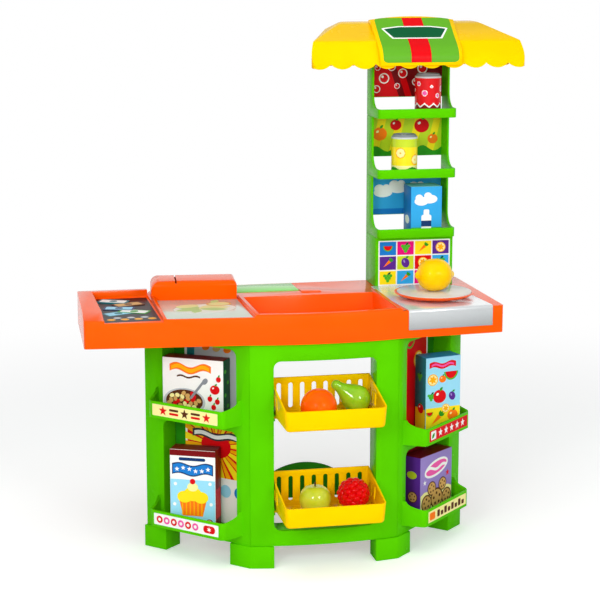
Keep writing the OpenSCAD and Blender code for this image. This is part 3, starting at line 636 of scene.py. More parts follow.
def star(x: float, y: float, inner: float, outer: float, tips: int) -> list[Point]:
    """Lists the points of an upright star.

    Args:
        x: Middle across, in millimetres.
        y: Middle up, in millimetres.
        inner: Reach of the inner corners.
        outer: Reach of the tips.
        tips: How many tips.

    Returns:
        The outline.
    """
    points = []
    for k in range(2 * tips):
        angle = math.radians(90 + 180 * k / tips)
        reach = inner if k % 2 else outer
        points.append((x + reach * math.cos(angle), y + reach * math.sin(angle)))
    return points


def rounded(x0: float, x1: float, y0: float, y1: float, r: float, steps: int = 5) -> list[Point]:
    """Lists the points of a rectangle with rounded corners.

    Args:
        x0: Left edge.
        x1: Right edge.
        y0: Lower edge.
        y1: Upper edge.
        r: Radius of the corners.
        steps: Steps round a corner.

    Returns:
        The outline.
    """
    points = []
    middles = ((x1 - r, y1 - r), (x0 + r, y1 - r), (x0 + r, y0 + r), (x1 - r, y0 + r))
    for quarter, (x, y) in enumerate(middles):
        for k in range(steps + 1):
            angle = math.radians(90 * quarter + 90 * k / steps)
            points.append((x + r * math.cos(angle), y + r * math.sin(angle)))
    return points


class PrintMesh:
    """One mesh that gathers printed shapes, each a thin closed solid with its ink."""

    def __init__(self) -> None:
        """Starts an empty mesh."""
        self.shape = bmesh.new()
        self.ink = self.shape.loops.layers.float_color.new(INK_NAME)

    def paint(self, faces: Sequence[bmesh.types.BMFace], colour: Colour) -> None:
        """Inks whole faces.

        Args:
            faces: Faces of this mesh.
            colour: Linear colour.
        """
        for face in faces:
            for loop in face.loops:
                loop[self.ink] = (*colour, 1.0)

    def solid(self, low: Sequence[Vector], high: Sequence[Vector], colour: Colour) -> None:
        """Adds a closed solid between two rings of points.

        Args:
            low: Lower ring.
            high: Upper ring, in the same order.
            colour: Linear colour.
        """
        bottom = [self.shape.verts.new(p) for p in low]
        top = [self.shape.verts.new(p) for p in high]
        faces = [self.shape.faces.new(top), self.shape.faces.new(bottom[::-1])]
        for i in range(len(top)):
            faces.append(self.shape.faces.new((bottom[i - 1], bottom[i], top[i], top[i - 1])))
        self.paint(faces, colour)

    def face(self, origin: Vector, across: Vector, up: Vector, wide: float = 0.0,
             high: float = 0.0) -> "PrintFace":
        """Opens a flat printed face of this mesh."""
        return PrintFace(self, origin, across.normalized(), up.normalized(), wide, high)

    def piece(self, name: str, finish: Finish, node: Optional[str] = None,
              sharp: float = SHARP_ANGLE) -> None:
        """Turns the gathered shapes into a piece, on a node's body if it stands for one."""
        body = body_of(node) if node else STALL
        add_piece(name, mesh_from(self.shape, name), finish, body, node, sharp)


@dataclass
class PrintFace:
    """A flat face to print on, with its own axes and size in millimetres and layers that rise from it."""

    target: PrintMesh
    origin: Vector
    across: Vector
    up: Vector
    wide: float
    high: float
    printed: int = 0

    def at(self, point: Point, height: float) -> Vector:
        """Places a point of the face, lifted along its normal."""
        normal = self.across.cross(self.up)
        return self.origin + (self.across * point[0] + self.up * point[1] + normal * height) * MM

    def shape(self, points: Sequence[Point], ink: Ink, layer: int = 0) -> None:
        """Prints a closed outline on a layer, a hair above the one before it.

        Args:
            points: Outline, anticlockwise.
            ink: Colour.
            layer: Layer, counted from the face.
        """
        self.printed += 1
        low = [self.at(p, -PRINT_SINK) for p in points]
        high = [self.at(p, PRINT_STEP * (layer + 1) + PRINT_LIFT * self.printed) for p in points]
        self.target.solid(low, high, ink.colour)

    def block(self, x0: float, x1: float, y0: float, y1: float, ink: Ink, layer: int = 0,
              r: float = 0.0) -> None:
        """Prints a rectangle, with rounded corners if r is given."""
        points = rounded(x0, x1, y0, y1, r) if r else [(x0, y0), (x1, y0), (x1, y1), (x0, y1)]
        self.shape(points, ink, layer)

    def fill(self, ink: Ink, r: float = 0.0) -> None:
        """Prints the whole face, with rounded corners if r is given."""
        self.block(0, self.wide, 0, self.high, ink, 0, r)

    def spot(self, x: float, y: float) -> Point:
        """Finds a place from its shares of the face's width and height."""
        return self.wide * x, self.high * y

    def tile(self, across: Point, up: Point, ink: Ink, layer: int, r: float = 0.0) -> None:
        """Prints a rectangle from its shares of the face's width and height."""
        (x0, y0), (x1, y1) = self.spot(across[0], up[0]), self.spot(across[1], up[1])
        self.block(x0, x1, y0, y1, ink, layer, r)

    def disc(self, x: float, y: float, rx: float, ry: float, ink: Ink, layer: int = 0,
             turn: float = 0.0) -> None:
        """Prints an ellipse, turned by degrees."""
        self.shape(turned([(rx * math.cos(a), ry * math.sin(a)) for a in ring(28)], x, y, turn), ink, layer)

    def leaf(self, x: float, y: float, length: float, turn: float, ink: Ink, layer: int = 0) -> None:
        """Prints a pointed leaf that starts at a point."""
        half = [(length * t, length * 0.26 * math.sin(math.pi * t)) for t in (0.0, 0.2, 0.4, 0.6, 0.8, 1.0)]
        self.shape(turned(half[::-1] + [(u, -v) for u, v in half[1:-1]], x, y, turn), ink, layer)

    def ribbon(self, ends: Point, y: float, swing: float, width: float, ink: Ink, layer: int = 0) -> None:
        """Prints a wavy band between two ends.

        Args:
            ends: Left and right end.
            y: Middle height.
            swing: Height of its waves.
            width: Width of the band.
            ink: Colour.
            layer: Layer, counted from the face.
        """
        spots = []
        for k in range(31):
            spots.append((ends[0] + (ends[1] - ends[0]) * k / 30, y + swing * math.sin(k * math.pi / 10)))
        under = [(x, v - width / 2) for x, v in spots]
        self.shape(under + [(x, v + width / 2) for x, v in spots[::-1]], ink, layer)

    def wave(self, ends: Point, y: float, swing: float, width: float, ink: Ink, layer: int) -> None:
        """Prints a wavy band whose ends and height are shares of the face's width and height."""
        self.ribbon((self.wide * ends[0], self.wide * ends[1]), self.high * y, swing, width, ink, layer)

    def cloud(self, x: float, y: float, puffs: Sequence[tuple[float, ...]], layer: int) -> None:
        """Prints a cloud of white puffs, each given by its shift across and up and its two radii."""
        for k, (dx, dy, rx, ry) in enumerate(puffs):
            self.disc(x + dx, y + dy, rx, ry, Ink.WHITE, layer + k)

    def burst(self, middle: Point, rays: int, share: float, ink: Ink, layer: int) -> None:
        """Prints rays from a middle out to the edges of the face.

        Args:
            middle: Where the rays start.
            rays: How many rays.
            share: Share of the turn that they fill.
            ink: Colour.
            layer: Layer, counted from the face.
        """
        for k in range(rays):
            points = [middle]
            for turn in (k, k + share):
                away = math.cos(2 * math.pi * turn / rays), math.sin(2 * math.pi * turn / rays)
                sides = zip(middle, away, (self.wide, self.high))
                reaches = [(edge - start) / step for start, step, end in sides for edge in (0.0, end)
                           if abs(step) > 1e-6]
                reach = min(r for r in reaches if r > 0)
                points.append((middle[0] + reach * away[0], middle[1] + reach * away[1]))
            self.shape(points, ink, layer)

    def biscuit(self, x: float, y: float, r: float) -> None:
        """Prints a round biscuit with chips.

        Args:
            x: Middle across, in millimetres.
            y: Middle up, in millimetres.
            r: Radius in millimetres.
        """
        self.disc(x, y, r, r, Ink.BROWN, 1)
        self.disc(x, y, r * 0.84, r * 0.84, Ink.TAN, 2)
        for k in range(5):
            u, v = turned([(r * 0.5, 0.0)], x, y, 72 * k + math.degrees(0.4))[0]
            self.disc(u, v, r * 0.14, r * 0.14, Ink.BROWN, 3)

    def fruit(self, kind: Fruit, x: float, y: float, r: float, layer: int = 1) -> None:
        """Prints a simple fruit.

        Args:
            kind: Which fruit.
            x: Middle across.
            y: Middle up.
            r: Radius in millimetres.
            layer: First layer.
        """
        main, second = kind.value
        if kind is Fruit.PLUM:
            self.disc(x, y, r * 0.8, r, main, layer, 20)
            self.disc(x - r * 0.25, y + r * 0.3, r * 0.16, r * 0.34, second, layer + 1, 20)
            self.leaf(x, y + r * 0.9, r * 0.8, 30, Ink.LEAF, layer + 1)
        elif kind is Fruit.SLICE:
            self.disc(x, y, r, r, main, layer)
            self.disc(x, y, r * 0.84, r * 0.84, second, layer + 1)
            for k in range(6):
                self.leaf(x, y, r * 0.76, 60 * k + 15, main, layer + 2)
        elif kind is Fruit.CARROT:
            self.shape([(x - r * 0.9, y - r * 0.8), (x + r * 0.62, y + r * 0.12),
                        (x + r * 0.16, y + r * 0.6)], main, layer)
            for turn in (20, 50, 80):
                self.leaf(x + r * 0.38, y + r * 0.34, r * 0.8, turn, second, layer + 1)
        elif kind is Fruit.GRAPES:
            for row in range(3):
                for k in range(3 - row):
                    across = x + (k - (2 - row) / 2) * r * 0.62
                    self.disc(across, y + r * (0.4 - row * 0.5), r * 0.32, r * 0.32, main, layer + row)
            self.leaf(x, y + r * 0.6, r * 0.8, 40, second, layer + 1)
        elif kind is Fruit.MELON:
            turns = [math.pi + math.pi * k / 14 for k in range(15)]
            for step, (ink, wide, deep) in enumerate(((second, r, r * 1.1), (main, r * 0.82, r * 0.9))):
                arc = [(x + wide * math.cos(a), y + r * 0.5 + deep * math.sin(a)) for a in turns]
                self.shape(arc, ink, layer + step)
        else:
            self.disc(x, y, r, r * 0.92, main, layer)
            self.disc(x - r * 0.34, y + r * 0.32, r * 0.22, r * 0.16, second, layer + 1, 40)
            self.leaf(x, y + r * 0.72, r * 0.7, 50, Ink.LEAF, layer + 1)


@dataclass
class Base:
    """The base: panels, feet, bins and what is printed on them. Sizes in millimetres."""

    bin_face: float = -43.0
    back_face: float = 43.0
    label_span: Point = (43.0, 200.0)
    label_edges: Point = (6.0, 29.0)
    label_corner: float = 1.5
    card_span: Point = (34.0, 184.0)
    card_edge: float = 5.0
    left_upper: float = 285.0
    right_upper: float = 228.0
    lower: float = 62.0
    nodes: tuple[str, ...] = ("front_panel", "left_side_unit", "right_side_unit", "front_left_foot",
                              "front_right_foot", "rear_left_foot", "rear_right_foot")
    hidden: tuple[str, ...] = ("left_back_panel", "right_back_panel", "rear_brace")

    def build(self) -> None:
        """Builds the mouldings, the bins' labels and the cards behind the bins."""
        for node in self.nodes:
            soften(node, GREEN, 1.0)
        for node in self.hidden:
            soften(node, DEEP_GREEN, 0.6)
        for name, hand, low, draw in (("left_upper_label", Hand.LEFT, self.left_upper, self.star_label),
                                      ("left_lower_label", Hand.LEFT, self.lower, self.ring_label),
                                      ("right_upper_label", Hand.RIGHT, self.right_upper, self.leaf_label),
                                      ("right_lower_label", Hand.RIGHT, self.lower, self.block_label)):
            heights = low + self.label_edges[0], low + self.label_edges[1]
            self.sheet(name, hand, self.label_span, heights, self.bin_face, LABEL, draw)
        for name, hand, heights, draw in (("left_upper_card", Hand.LEFT, (289.0, 442.0), self.silver_card),
                                          ("left_lower_card", Hand.LEFT, (66.0, 284.0), self.burst_card),
                                          ("right_upper_card", Hand.RIGHT, (232.0, 442.0), self.fruit_card),
                                          ("right_lower_card", Hand.RIGHT, (66.0, 227.0), self.dot_card)):
            self.sheet(name, hand, self.card_span, heights, self.back_face, CARD, draw)

    def sheet(self, name: str, hand: Hand, span: Point, heights: Point, inwards: float, stock: PrintedStock,
              draw: Drawing) -> None:
        """Prints one sheet on a slanted side.

        Args:
            name: Piece name.
            hand: Side of the stall.
            span: Near and far end along the side.
            heights: Lower and upper edge.
            inwards: Distance of the sheet in from the side.
            stock: What it is printed on.
            draw: Method that draws it.
        """
        prints = PrintMesh()
        left = span[1] if hand is Hand.LEFT else span[0]
        corner = hand.place(left, inwards, heights[0])
        draw(prints.face(corner, hand.across(), UP, span[1] - span[0], heights[1] - heights[0]))
        prints.piece(name, stock)

    def star_label(self, face: PrintFace) -> None:
        """Draws stars between pairs of bars.

        Args:
            face: Face to print on.
        """
        mid = face.high / 2
        face.fill(Ink.CREAM, self.label_corner)
        for k, ink in enumerate((Ink.RED, Ink.BROWN, Ink.RED)):
            face.shape(star(face.wide * (k + 0.5) / 3, mid, 4.4, 10.2, 5), ink, 1)
        for x in (face.wide / 3, face.wide * 2 / 3):
            face.block(x - 11, x + 11, mid + 1.5, mid + 6, Ink.BROWN, 1, 2)
            face.block(x - 11, x + 11, mid - 6, mid - 1.5, Ink.RED, 1, 2)

    def ring_label(self, face: PrintFace) -> None:
        """Draws a row of rings and a star in a rounded bar.

        Args:
            face: Face to print on.
        """
        mid = face.high / 2
        face.fill(Ink.WHITE, self.label_corner)
        for k in range(6):
            x = 14 + 17.5 * k
            face.disc(x, mid, 7.4, 7.4, Ink.PINK if k % 2 else Ink.RED, 1)
            face.disc(x, mid, 3.4, 3.4, Ink.WHITE, 2)
        face.block(face.wide - 36, face.wide - 8, 4, face.high - 4, Ink.RED, 1, 6.5)
        face.shape(star(face.wide - 22, mid, 2.4, 5.4, 6), Ink.WHITE, 2)

    def leaf_label(self, face: PrintFace) -> None:
        """Draws a leaf on a white tile and a row of stars.

        Args:
            face: Face to print on.
        """
        face.fill(Ink.RED, self.label_corner)
        face.block(6, 26, 3, face.high - 3, Ink.WHITE, 1, 2)
        face.leaf(9, 6, 15, 40, Ink.LEAF, 2)
        for k in range(5):
            face.shape(star(44 + 23 * k, face.high / 2, 3.6, 8.6, 5), Ink.WHITE, 1)

    def block_label(self, face: PrintFace) -> None:
        """Draws an orange tile and a row of brown blocks.

        Args:
            face: Face to print on.
        """
        mid = face.high / 2
        face.fill(Ink.CREAM, self.label_corner)
        face.block(5, 27, 4, face.high - 4, Ink.ORANGE, 1, 3)
        for k in range(8):
            x = 36 + 14.5 * k
            face.block(x, x + 10, mid - 7, mid + 7 - 5 * (k % 2), Ink.BROWN, 1, 2)

    def silver_card(self, face: PrintFace) -> None:
        """Draws a silver card with a teal band and slanted ovals.

        Args:
            face: Face to print on.
        """
        face.fill(Ink.SILVER)
        face.block(0, 6, 0, face.high, Ink.WHITE, 1)
        face.block(6, 24, 0, face.high, Ink.TEAL, 1)
        for k in range(4):
            face.disc(52 + 26 * k, face.high - 22, 10, 7, Ink.TAN if k % 2 else Ink.ORANGE, 1, 20)

    def burst_card(self, face: PrintFace) -> None:
        """Draws a red card with rays, a wavy band and dots on white.

        Args:
            face: Face to print on.
        """
        middle = face.wide / 2, face.high - 62
        band = face.high - 42
        face.fill(Ink.RED)
        face.block(0, self.card_edge, 0, face.high, Ink.WHITE, 1)
        face.burst(middle, 26, 0.62, Ink.AMBER, 1)
        face.burst(middle, 13, 0.4, Ink.YELLOW, 2)
        face.disc(*middle, 36, 26, Ink.RED, 3)
        face.ribbon((face.wide * 0.12, face.wide * 0.88), band, 3.0, 15, Ink.CHARCOAL, 3)
        face.ribbon((face.wide * 0.15, face.wide * 0.85), band, 3.0, 8, Ink.WHITE, 4)
        face.block(self.card_edge, face.wide, 0, 92, Ink.WHITE, 4)
        for k in range(4):
            face.disc(30 + 34 * k, 66, 13, 13, Ink.BLUE if k % 2 else Ink.SKY, 5)

    def fruit_card(self, face: PrintFace) -> None:
        """Draws a red card with a grey band and cut fruit.

        Args:
            face: Face to print on.
        """
        face.fill(Ink.RED)
        face.block(0, 40, 0, face.high, Ink.GREY, 1)
        face.disc(34, face.high - 40, 20, 26, Ink.AMBER, 2)
        face.fruit(Fruit.MELON, 78, face.high - 30, 20, 2)
        face.fruit(Fruit.SLICE, 112, face.high - 70, 18, 2)
        face.block(face.wide - self.card_edge, face.wide, 0, face.high, Ink.WHITE, 1)

    def dot_card(self, face: PrintFace) -> None:
        """Draws a dark card with a row of ovals.

        Args:
            face: Face to print on.
        """
        face.fill(Ink.DARK_RED)
        for k in range(5):
            face.disc(18 + 28 * k, face.high - 20, 11, 8, Ink.PINK if k % 2 else Ink.LILAC, 1)
        face.block(face.wide - self.card_edge, face.wide, 0, face.high, Ink.WHITE, 1)


@dataclass
class Counter:
    """The counter with till, belt, basin and register. Sizes in millimetres."""

    belt_middle: Place = (-221.0, 112.0, 500.0)
    till_corner: Place = (-418.0, 32.0, 495.0)
    till_wide: float = 106.0
    till_deep: float = 235.0
    notes: tuple[tuple[Ink, Ink, float, float, float], ...] = (
        (Ink.TEAL, Ink.SKY, 34, 84, 24), (Ink.LEAF, Ink.WHITE, 66, 96, -28),
        (Ink.NAVY, Ink.SKY, 40, 130, -14), (Ink.BROWN, Ink.TAN, 62, 164, 18),
        (Ink.TEAL, Ink.WHITE, 36, 198, -24))
    leaves: tuple[Point, ...] = ((10, 66), (34, 60), (-14, 58), (150, 48), (196, 50), (110, 40), (250, 40))

    def build(self) -> None:
        """Builds the mouldings and the printed trays."""
        soften("counter_top", ORANGE, 0.9)
        soften("register_housing", REGISTER_ORANGE, 0.8)
        soften("belt_plate", BELT, 0.4)
        soften("deck_plate", PLATE_GREEN_PAINTED_SHEEN, 0.4)
        self.till_print()
        self.belt_print()

    def till_print(self) -> None:
        """Prints the till's floor: a coin tray and notes in plain colours."""
        prints = PrintMesh()
        face = prints.face(from_plan(*self.till_corner), RIGHT, REAR, self.till_wide, self.till_deep)
        face.fill(Ink.COAL)
        for level, (main, second, x, y, turn) in enumerate(self.notes):
            layer = 1 + 3 * level
            face.shape(turned(rounded(-30, 30, -16, 16, 3), x, y, turn), main, layer)
            face.shape(turned(rounded(-26, 26, -12, 12, 3), x, y, turn), second, layer + 1)
            face.disc(x, y, 8, 8, main, layer + 2)
        for k in range(7):
            odd = k % 2
            x, y = 14 + 13 * k, 24 + 14 * odd
            face.disc(x, y, 8.5, 8.5, Ink.GREY if odd else Ink.TAN, 1 + odd)
            face.disc(x, y, 6.4, 6.4, Ink.SILVER if odd else Ink.AMBER, 2 + odd)
        prints.piece("till_tray_print", LABEL)

    def belt_print(self) -> None:
        """Prints pale produce on the belt plate."""
        prints = PrintMesh()
        face = prints.face(from_plan(*self.belt_middle), RIGHT, REAR)
        face.disc(4, -6, 62, 42, Ink.PALE, 0, 8)
        for turn, length in self.leaves:
            face.leaf(-8, -8, length, turn, Ink.PALE_YELLOW if length > 58 else Ink.PALE_GREEN, 0)
        face.disc(-26, 22, 24, 14, Ink.PALE_YELLOW, 1, 14)
        face.disc(38, 34, 25, 20, Ink.TAN, 1)
        face.disc(38, 34, 21, 16, Ink.PALE_YELLOW, 1)
        face.leaf(26, 46, 32, 60, Ink.PALE_GREEN, 2)
        prints.piece("belt_print", LABEL)


class GeometryTree(NodeTree):
    """A Geometry Nodes tree with named sizes, turned into a plain mesh."""

    def __init__(self, name: str, sizes: dict[str, float]) -> None:
        """Makes the tree, its named inputs and its ends.

        Args:
            name: Name of the tree.
            sizes: Values of its named inputs.
        """
        super().__init__(bpy.data.node_groups.new(name, "GeometryNodeTree"))
        for way in ("INPUT", "OUTPUT"):
            self.tree.interface.new_socket("Geometry", in_out=way, socket_type="NodeSocketGeometry")
        self.values: dict[str, float] = {}
        for key, value in sizes.items():
            socket = self.tree.interface.new_socket(key, in_out="INPUT", socket_type="NodeSocketFloat")
            self.values[socket.identifier] = value
        self.start = self.add("NodeGroupInput")
        self.end = self.add("NodeGroupOutput")

    def moved(self, source: Node, place: Sequence[float]) -> Node:
        """Moves a node's mesh to a place.

        Args:
            source: Node with a mesh.
            place: Place in metres.

        Returns:
            The node with the moved mesh.
        """
        node = self.add("GeometryNodeTransform", {"Translation": place})
        self.link(source, "Mesh", node, "Geometry")
        return node

    def joined(self, parts: Sequence[Node]) -> Node:
        """Joins the geometry of several nodes.

        Args:
            parts: Nodes whose first output is geometry.

        Returns:
            The node with all of it.
        """
        node = self.add("GeometryNodeJoinGeometry")
        for part in parts:
            self.link(part, 0, node, "Geometry")
        return node

    def bake(self, last: Node, finish: Finish, points: Sequence[Vector],
             name: str) -> bpy.types.Mesh:
        """Ends the tree in real geometry with its material and runs it on a mesh of points.

        Args:
            last: Node whose geometry ends the tree.
            finish: Finish whose material the geometry takes.
            points: Points that the tree starts from.
            name: Name of the mesh.

        Returns:
            The plain mesh.
        """
        real = self.add("GeometryNodeRealizeInstances")
        dressed = self.add("GeometryNodeSetMaterial", {"Material": finish.material()})
        self.link(last, 0, real, "Geometry")
        self.link(real, "Geometry", dressed, "Geometry")
        self.link(dressed, "Geometry", self.end, "Geometry")
        mesh = bpy.data.meshes.new(name)
        mesh.from_pydata([tuple(p) for p in points], [], [])
        holder = bpy.data.objects.new(name + "_points", mesh)
        bpy.context.scene.collection.objects.link(holder)
        modifier = holder.modifiers.new("shape", "NODES")
        modifier.node_group = self.tree
        for identifier, value in self.values.items():
            modifier[identifier] = value
        result = evaluated_mesh(holder)
        holder.modifiers.remove(modifier)
        bpy.data.objects.remove(holder)
        result.name = name
        return result


@dataclass
class Scale:
    """The weighing scale. Sizes in millimetres."""

    pan_x: float = 250.0
    pan_y: float = 118.0
    spring_low: float = 462.0
    spring_high: float = 507.0
    spring_r: float = 14.5
    wire: float = 1.0
    turns: float = 6.0
    pressed: float = 4.0

    def build(self) -> None:
        """Builds the plate, the pan and its spring."""
        soften("scale_plate", SILVER, 0.5)
        soften("scale_pan", ORANGE, 0.8)
        soften("pan_disc", PAN, 0.5)
        soften("stem_clip", STEEL, 0.3)
        self.spring()

    def spring(self) -> None:
        """Winds the coil spring along a spiral."""
        length = self.spring_high - self.spring_low
        sizes = {"Coil radius": self.spring_r * MM, "Wire radius": self.wire * MM,
                 "Height": (length - 2 * self.wire) * MM, "Turns": self.turns}
        tree = GeometryTree("coil_spring_tree", sizes)
        spiral = tree.add("GeometryNodeCurveSpiral", {"Resolution": 26})
        for socket, key in (("Start Radius", "Coil radius"), ("End Radius", "Coil radius"),
                            ("Height", "Height"), ("Rotations", "Turns")):
            tree.link(tree.start, key, spiral, socket)
        circle = tree.add("GeometryNodeCurvePrimitiveCircle", {"Resolution": 10})
        tree.link(tree.start, "Wire radius", circle, "Radius")
        tube = tree.add("GeometryNodeCurveToMesh", {"Fill Caps": True})
        tree.link(spiral, "Curve", tube, "Curve")
        tree.link(circle, "Curve", tube, "Profile Curve")
        shift = tree.moved(tube, from_plan(self.pan_x, self.pan_y, self.spring_low + self.wire))
        mesh = tree.bake(shift, STEEL, [Vector((0.0, 0.0, 0.0))], "pan_coil")
        piece = add_piece("pan_coil", mesh, STEEL, STALL, "pan_spring")
        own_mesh(piece)


@dataclass
class Tower:
    """The shelf tower and its posters. Sizes in millimetres."""

    middle: float = 246.0
    left: float = 167.5
    right: float = 324.5
    back_face: float = 336.0
    foot_face: float = 257.0
    foot_low: float = 502.0
    foot_corner: float = 1.5
    bay_low: float = 603.0
    pitch: float = 123.0
    gap: float = 36.0
    inset: float = 1.0
    columns: int = 4
    cell: float = 35.0
    cell_high: float = 28.0
    cell_fruit: float = 10.5
    border: float = 2.6
    cells: tuple[tuple[Ink, Fruit], ...] = (
        (Ink.YELLOW, Fruit.GRAPES), (Ink.CYAN, Fruit.CARROT), (Ink.MAGENTA, Fruit.SLICE),
        (Ink.DARK_GREEN, Fruit.MELON), (Ink.PURPLE, Fruit.CARROT), (Ink.LIME, Fruit.PLUM),
        (Ink.RED, Fruit.SLICE), (Ink.CYAN, Fruit.GRAPES), (Ink.BLUE, Fruit.MELON),
        (Ink.MAGENTA, Fruit.GRAPES), (Ink.YELLOW, Fruit.CARROT), (Ink.PURPLE, Fruit.SLICE))
    bubbles: tuple[Place, ...] = (
        (14, 16, 8), (30, 38, 11), (16, 60, 6), (46, 62, 9), (58, 22, 6), (70, 48, 10), (98, 30, 8),
        (112, 58, 11), (132, 34, 7), (88, 70, 6), (138, 70, 5))

    def build(self) -> None:
        """Builds the mouldings and the posters."""
        for node in ("tower_base", "lower_shelf", "middle_shelf", "upper_shelf"):
            soften(node, GREEN, 1.0)
        self.foot_poster()
        low = self.bay_low + self.gap + self.inset
        wide = self.right - self.left - 2 * self.inset
        high = self.pitch - self.gap - 2 * self.inset
        for name, draw in (("lower_poster", self.sky), ("middle_poster", self.orchard),
                           ("upper_poster", self.fizz)):
            prints = PrintMesh()
            draw(prints.face(from_plan(self.left + self.inset, self.back_face, low), RIGHT, UP, wide, high))
            prints.piece(name, LABEL)
            low += self.pitch

    def foot_poster(self) -> None:
        """Prints the poster of fruit cells on the tower's foot."""
        prints = PrintMesh()
        rows = len(self.cells) // self.columns
        wide = self.columns * self.cell + (self.columns + 1) * self.border
        high = rows * self.cell_high + (rows + 1) * self.border
        corner = from_plan(self.middle - wide / 2, self.foot_face, self.foot_low)
        face = prints.face(corner, RIGHT, UP, wide, high)
        face.fill(Ink.WHITE, self.foot_corner)
        for k, (ink, fruit) in enumerate(self.cells):
            x = self.border + (k % self.columns) * (self.cell + self.border)
            y = self.border + (k // self.columns) * (self.cell_high + self.border)
            face.block(x, x + self.cell, y, y + self.cell_high, ink, 1)
            face.fruit(fruit, x + self.cell / 2, y + self.cell_high / 2, self.cell_fruit, 2)
        prints.piece("tower_foot_poster", LABEL)

    def sky(self, face: PrintFace) -> None:
        """Draws the lowest bay's clouds.

        Args:
            face: Face to print on.
        """
        face.fill(Ink.CYAN)
        face.block(0, face.wide, 0, 12, Ink.BLUE, 1)
        for x, y in ((30, 46), (62, 54), (104, 50)):
            face.cloud(x, y, ((0, 0, 20, 10), (-8, 8, 11, 9), (7, 9, 9, 8)), 1)

    def orchard(self, face: PrintFace) -> None:
        """Draws the middle bay's fruit over a hilly foot.

        Args:
            face: Face to print on.
        """
        wide, high = face.wide, face.high
        face.fill(Ink.LIME)
        for x in range(0, 160, 40):
            face.shape([(x, 0), (x + 16, 0), (min(wide, x + 38), high), (x + 20, high)], Ink.YELLOW, 1)
        hills = [(wide * k / 24, 15 + 6 * math.sin(k * 0.8)) for k in range(25)]
        face.shape([(0, 0), (wide, 0)] + hills[::-1], Ink.LEAF, 2)
        for x, y, r in ((22, 46, 15), (56, 64, 12), (112, 62, 16), (136, 34, 11), (90, 34, 10)):
            face.fruit(Fruit.CITRUS if r % 2 else Fruit.ROUND, x, y, r, 3)

    def fizz(self, face: PrintFace) -> None:
        """Draws the highest bay's bubbles over slanted bands.

        Args:
            face: Face to print on.
        """
        face.fill(Ink.DARK_RED)
        face.shape([(0, 0), (62, 0), (34, face.high), (0, face.high)], Ink.RED, 1)
        face.shape([(76, 0), (90, 0), (62, face.high), (48, face.high)], Ink.RED, 1)
        for x, y, r in self.bubbles:
            face.disc(x, y, r, r, Ink.WHITE, 2)
            face.disc(x, y, r * 0.78, r * 0.78, Ink.RED, 3)
            face.disc(x - r * 0.3, y + r * 0.3, r * 0.24, r * 0.24, Ink.WHITE, 4)


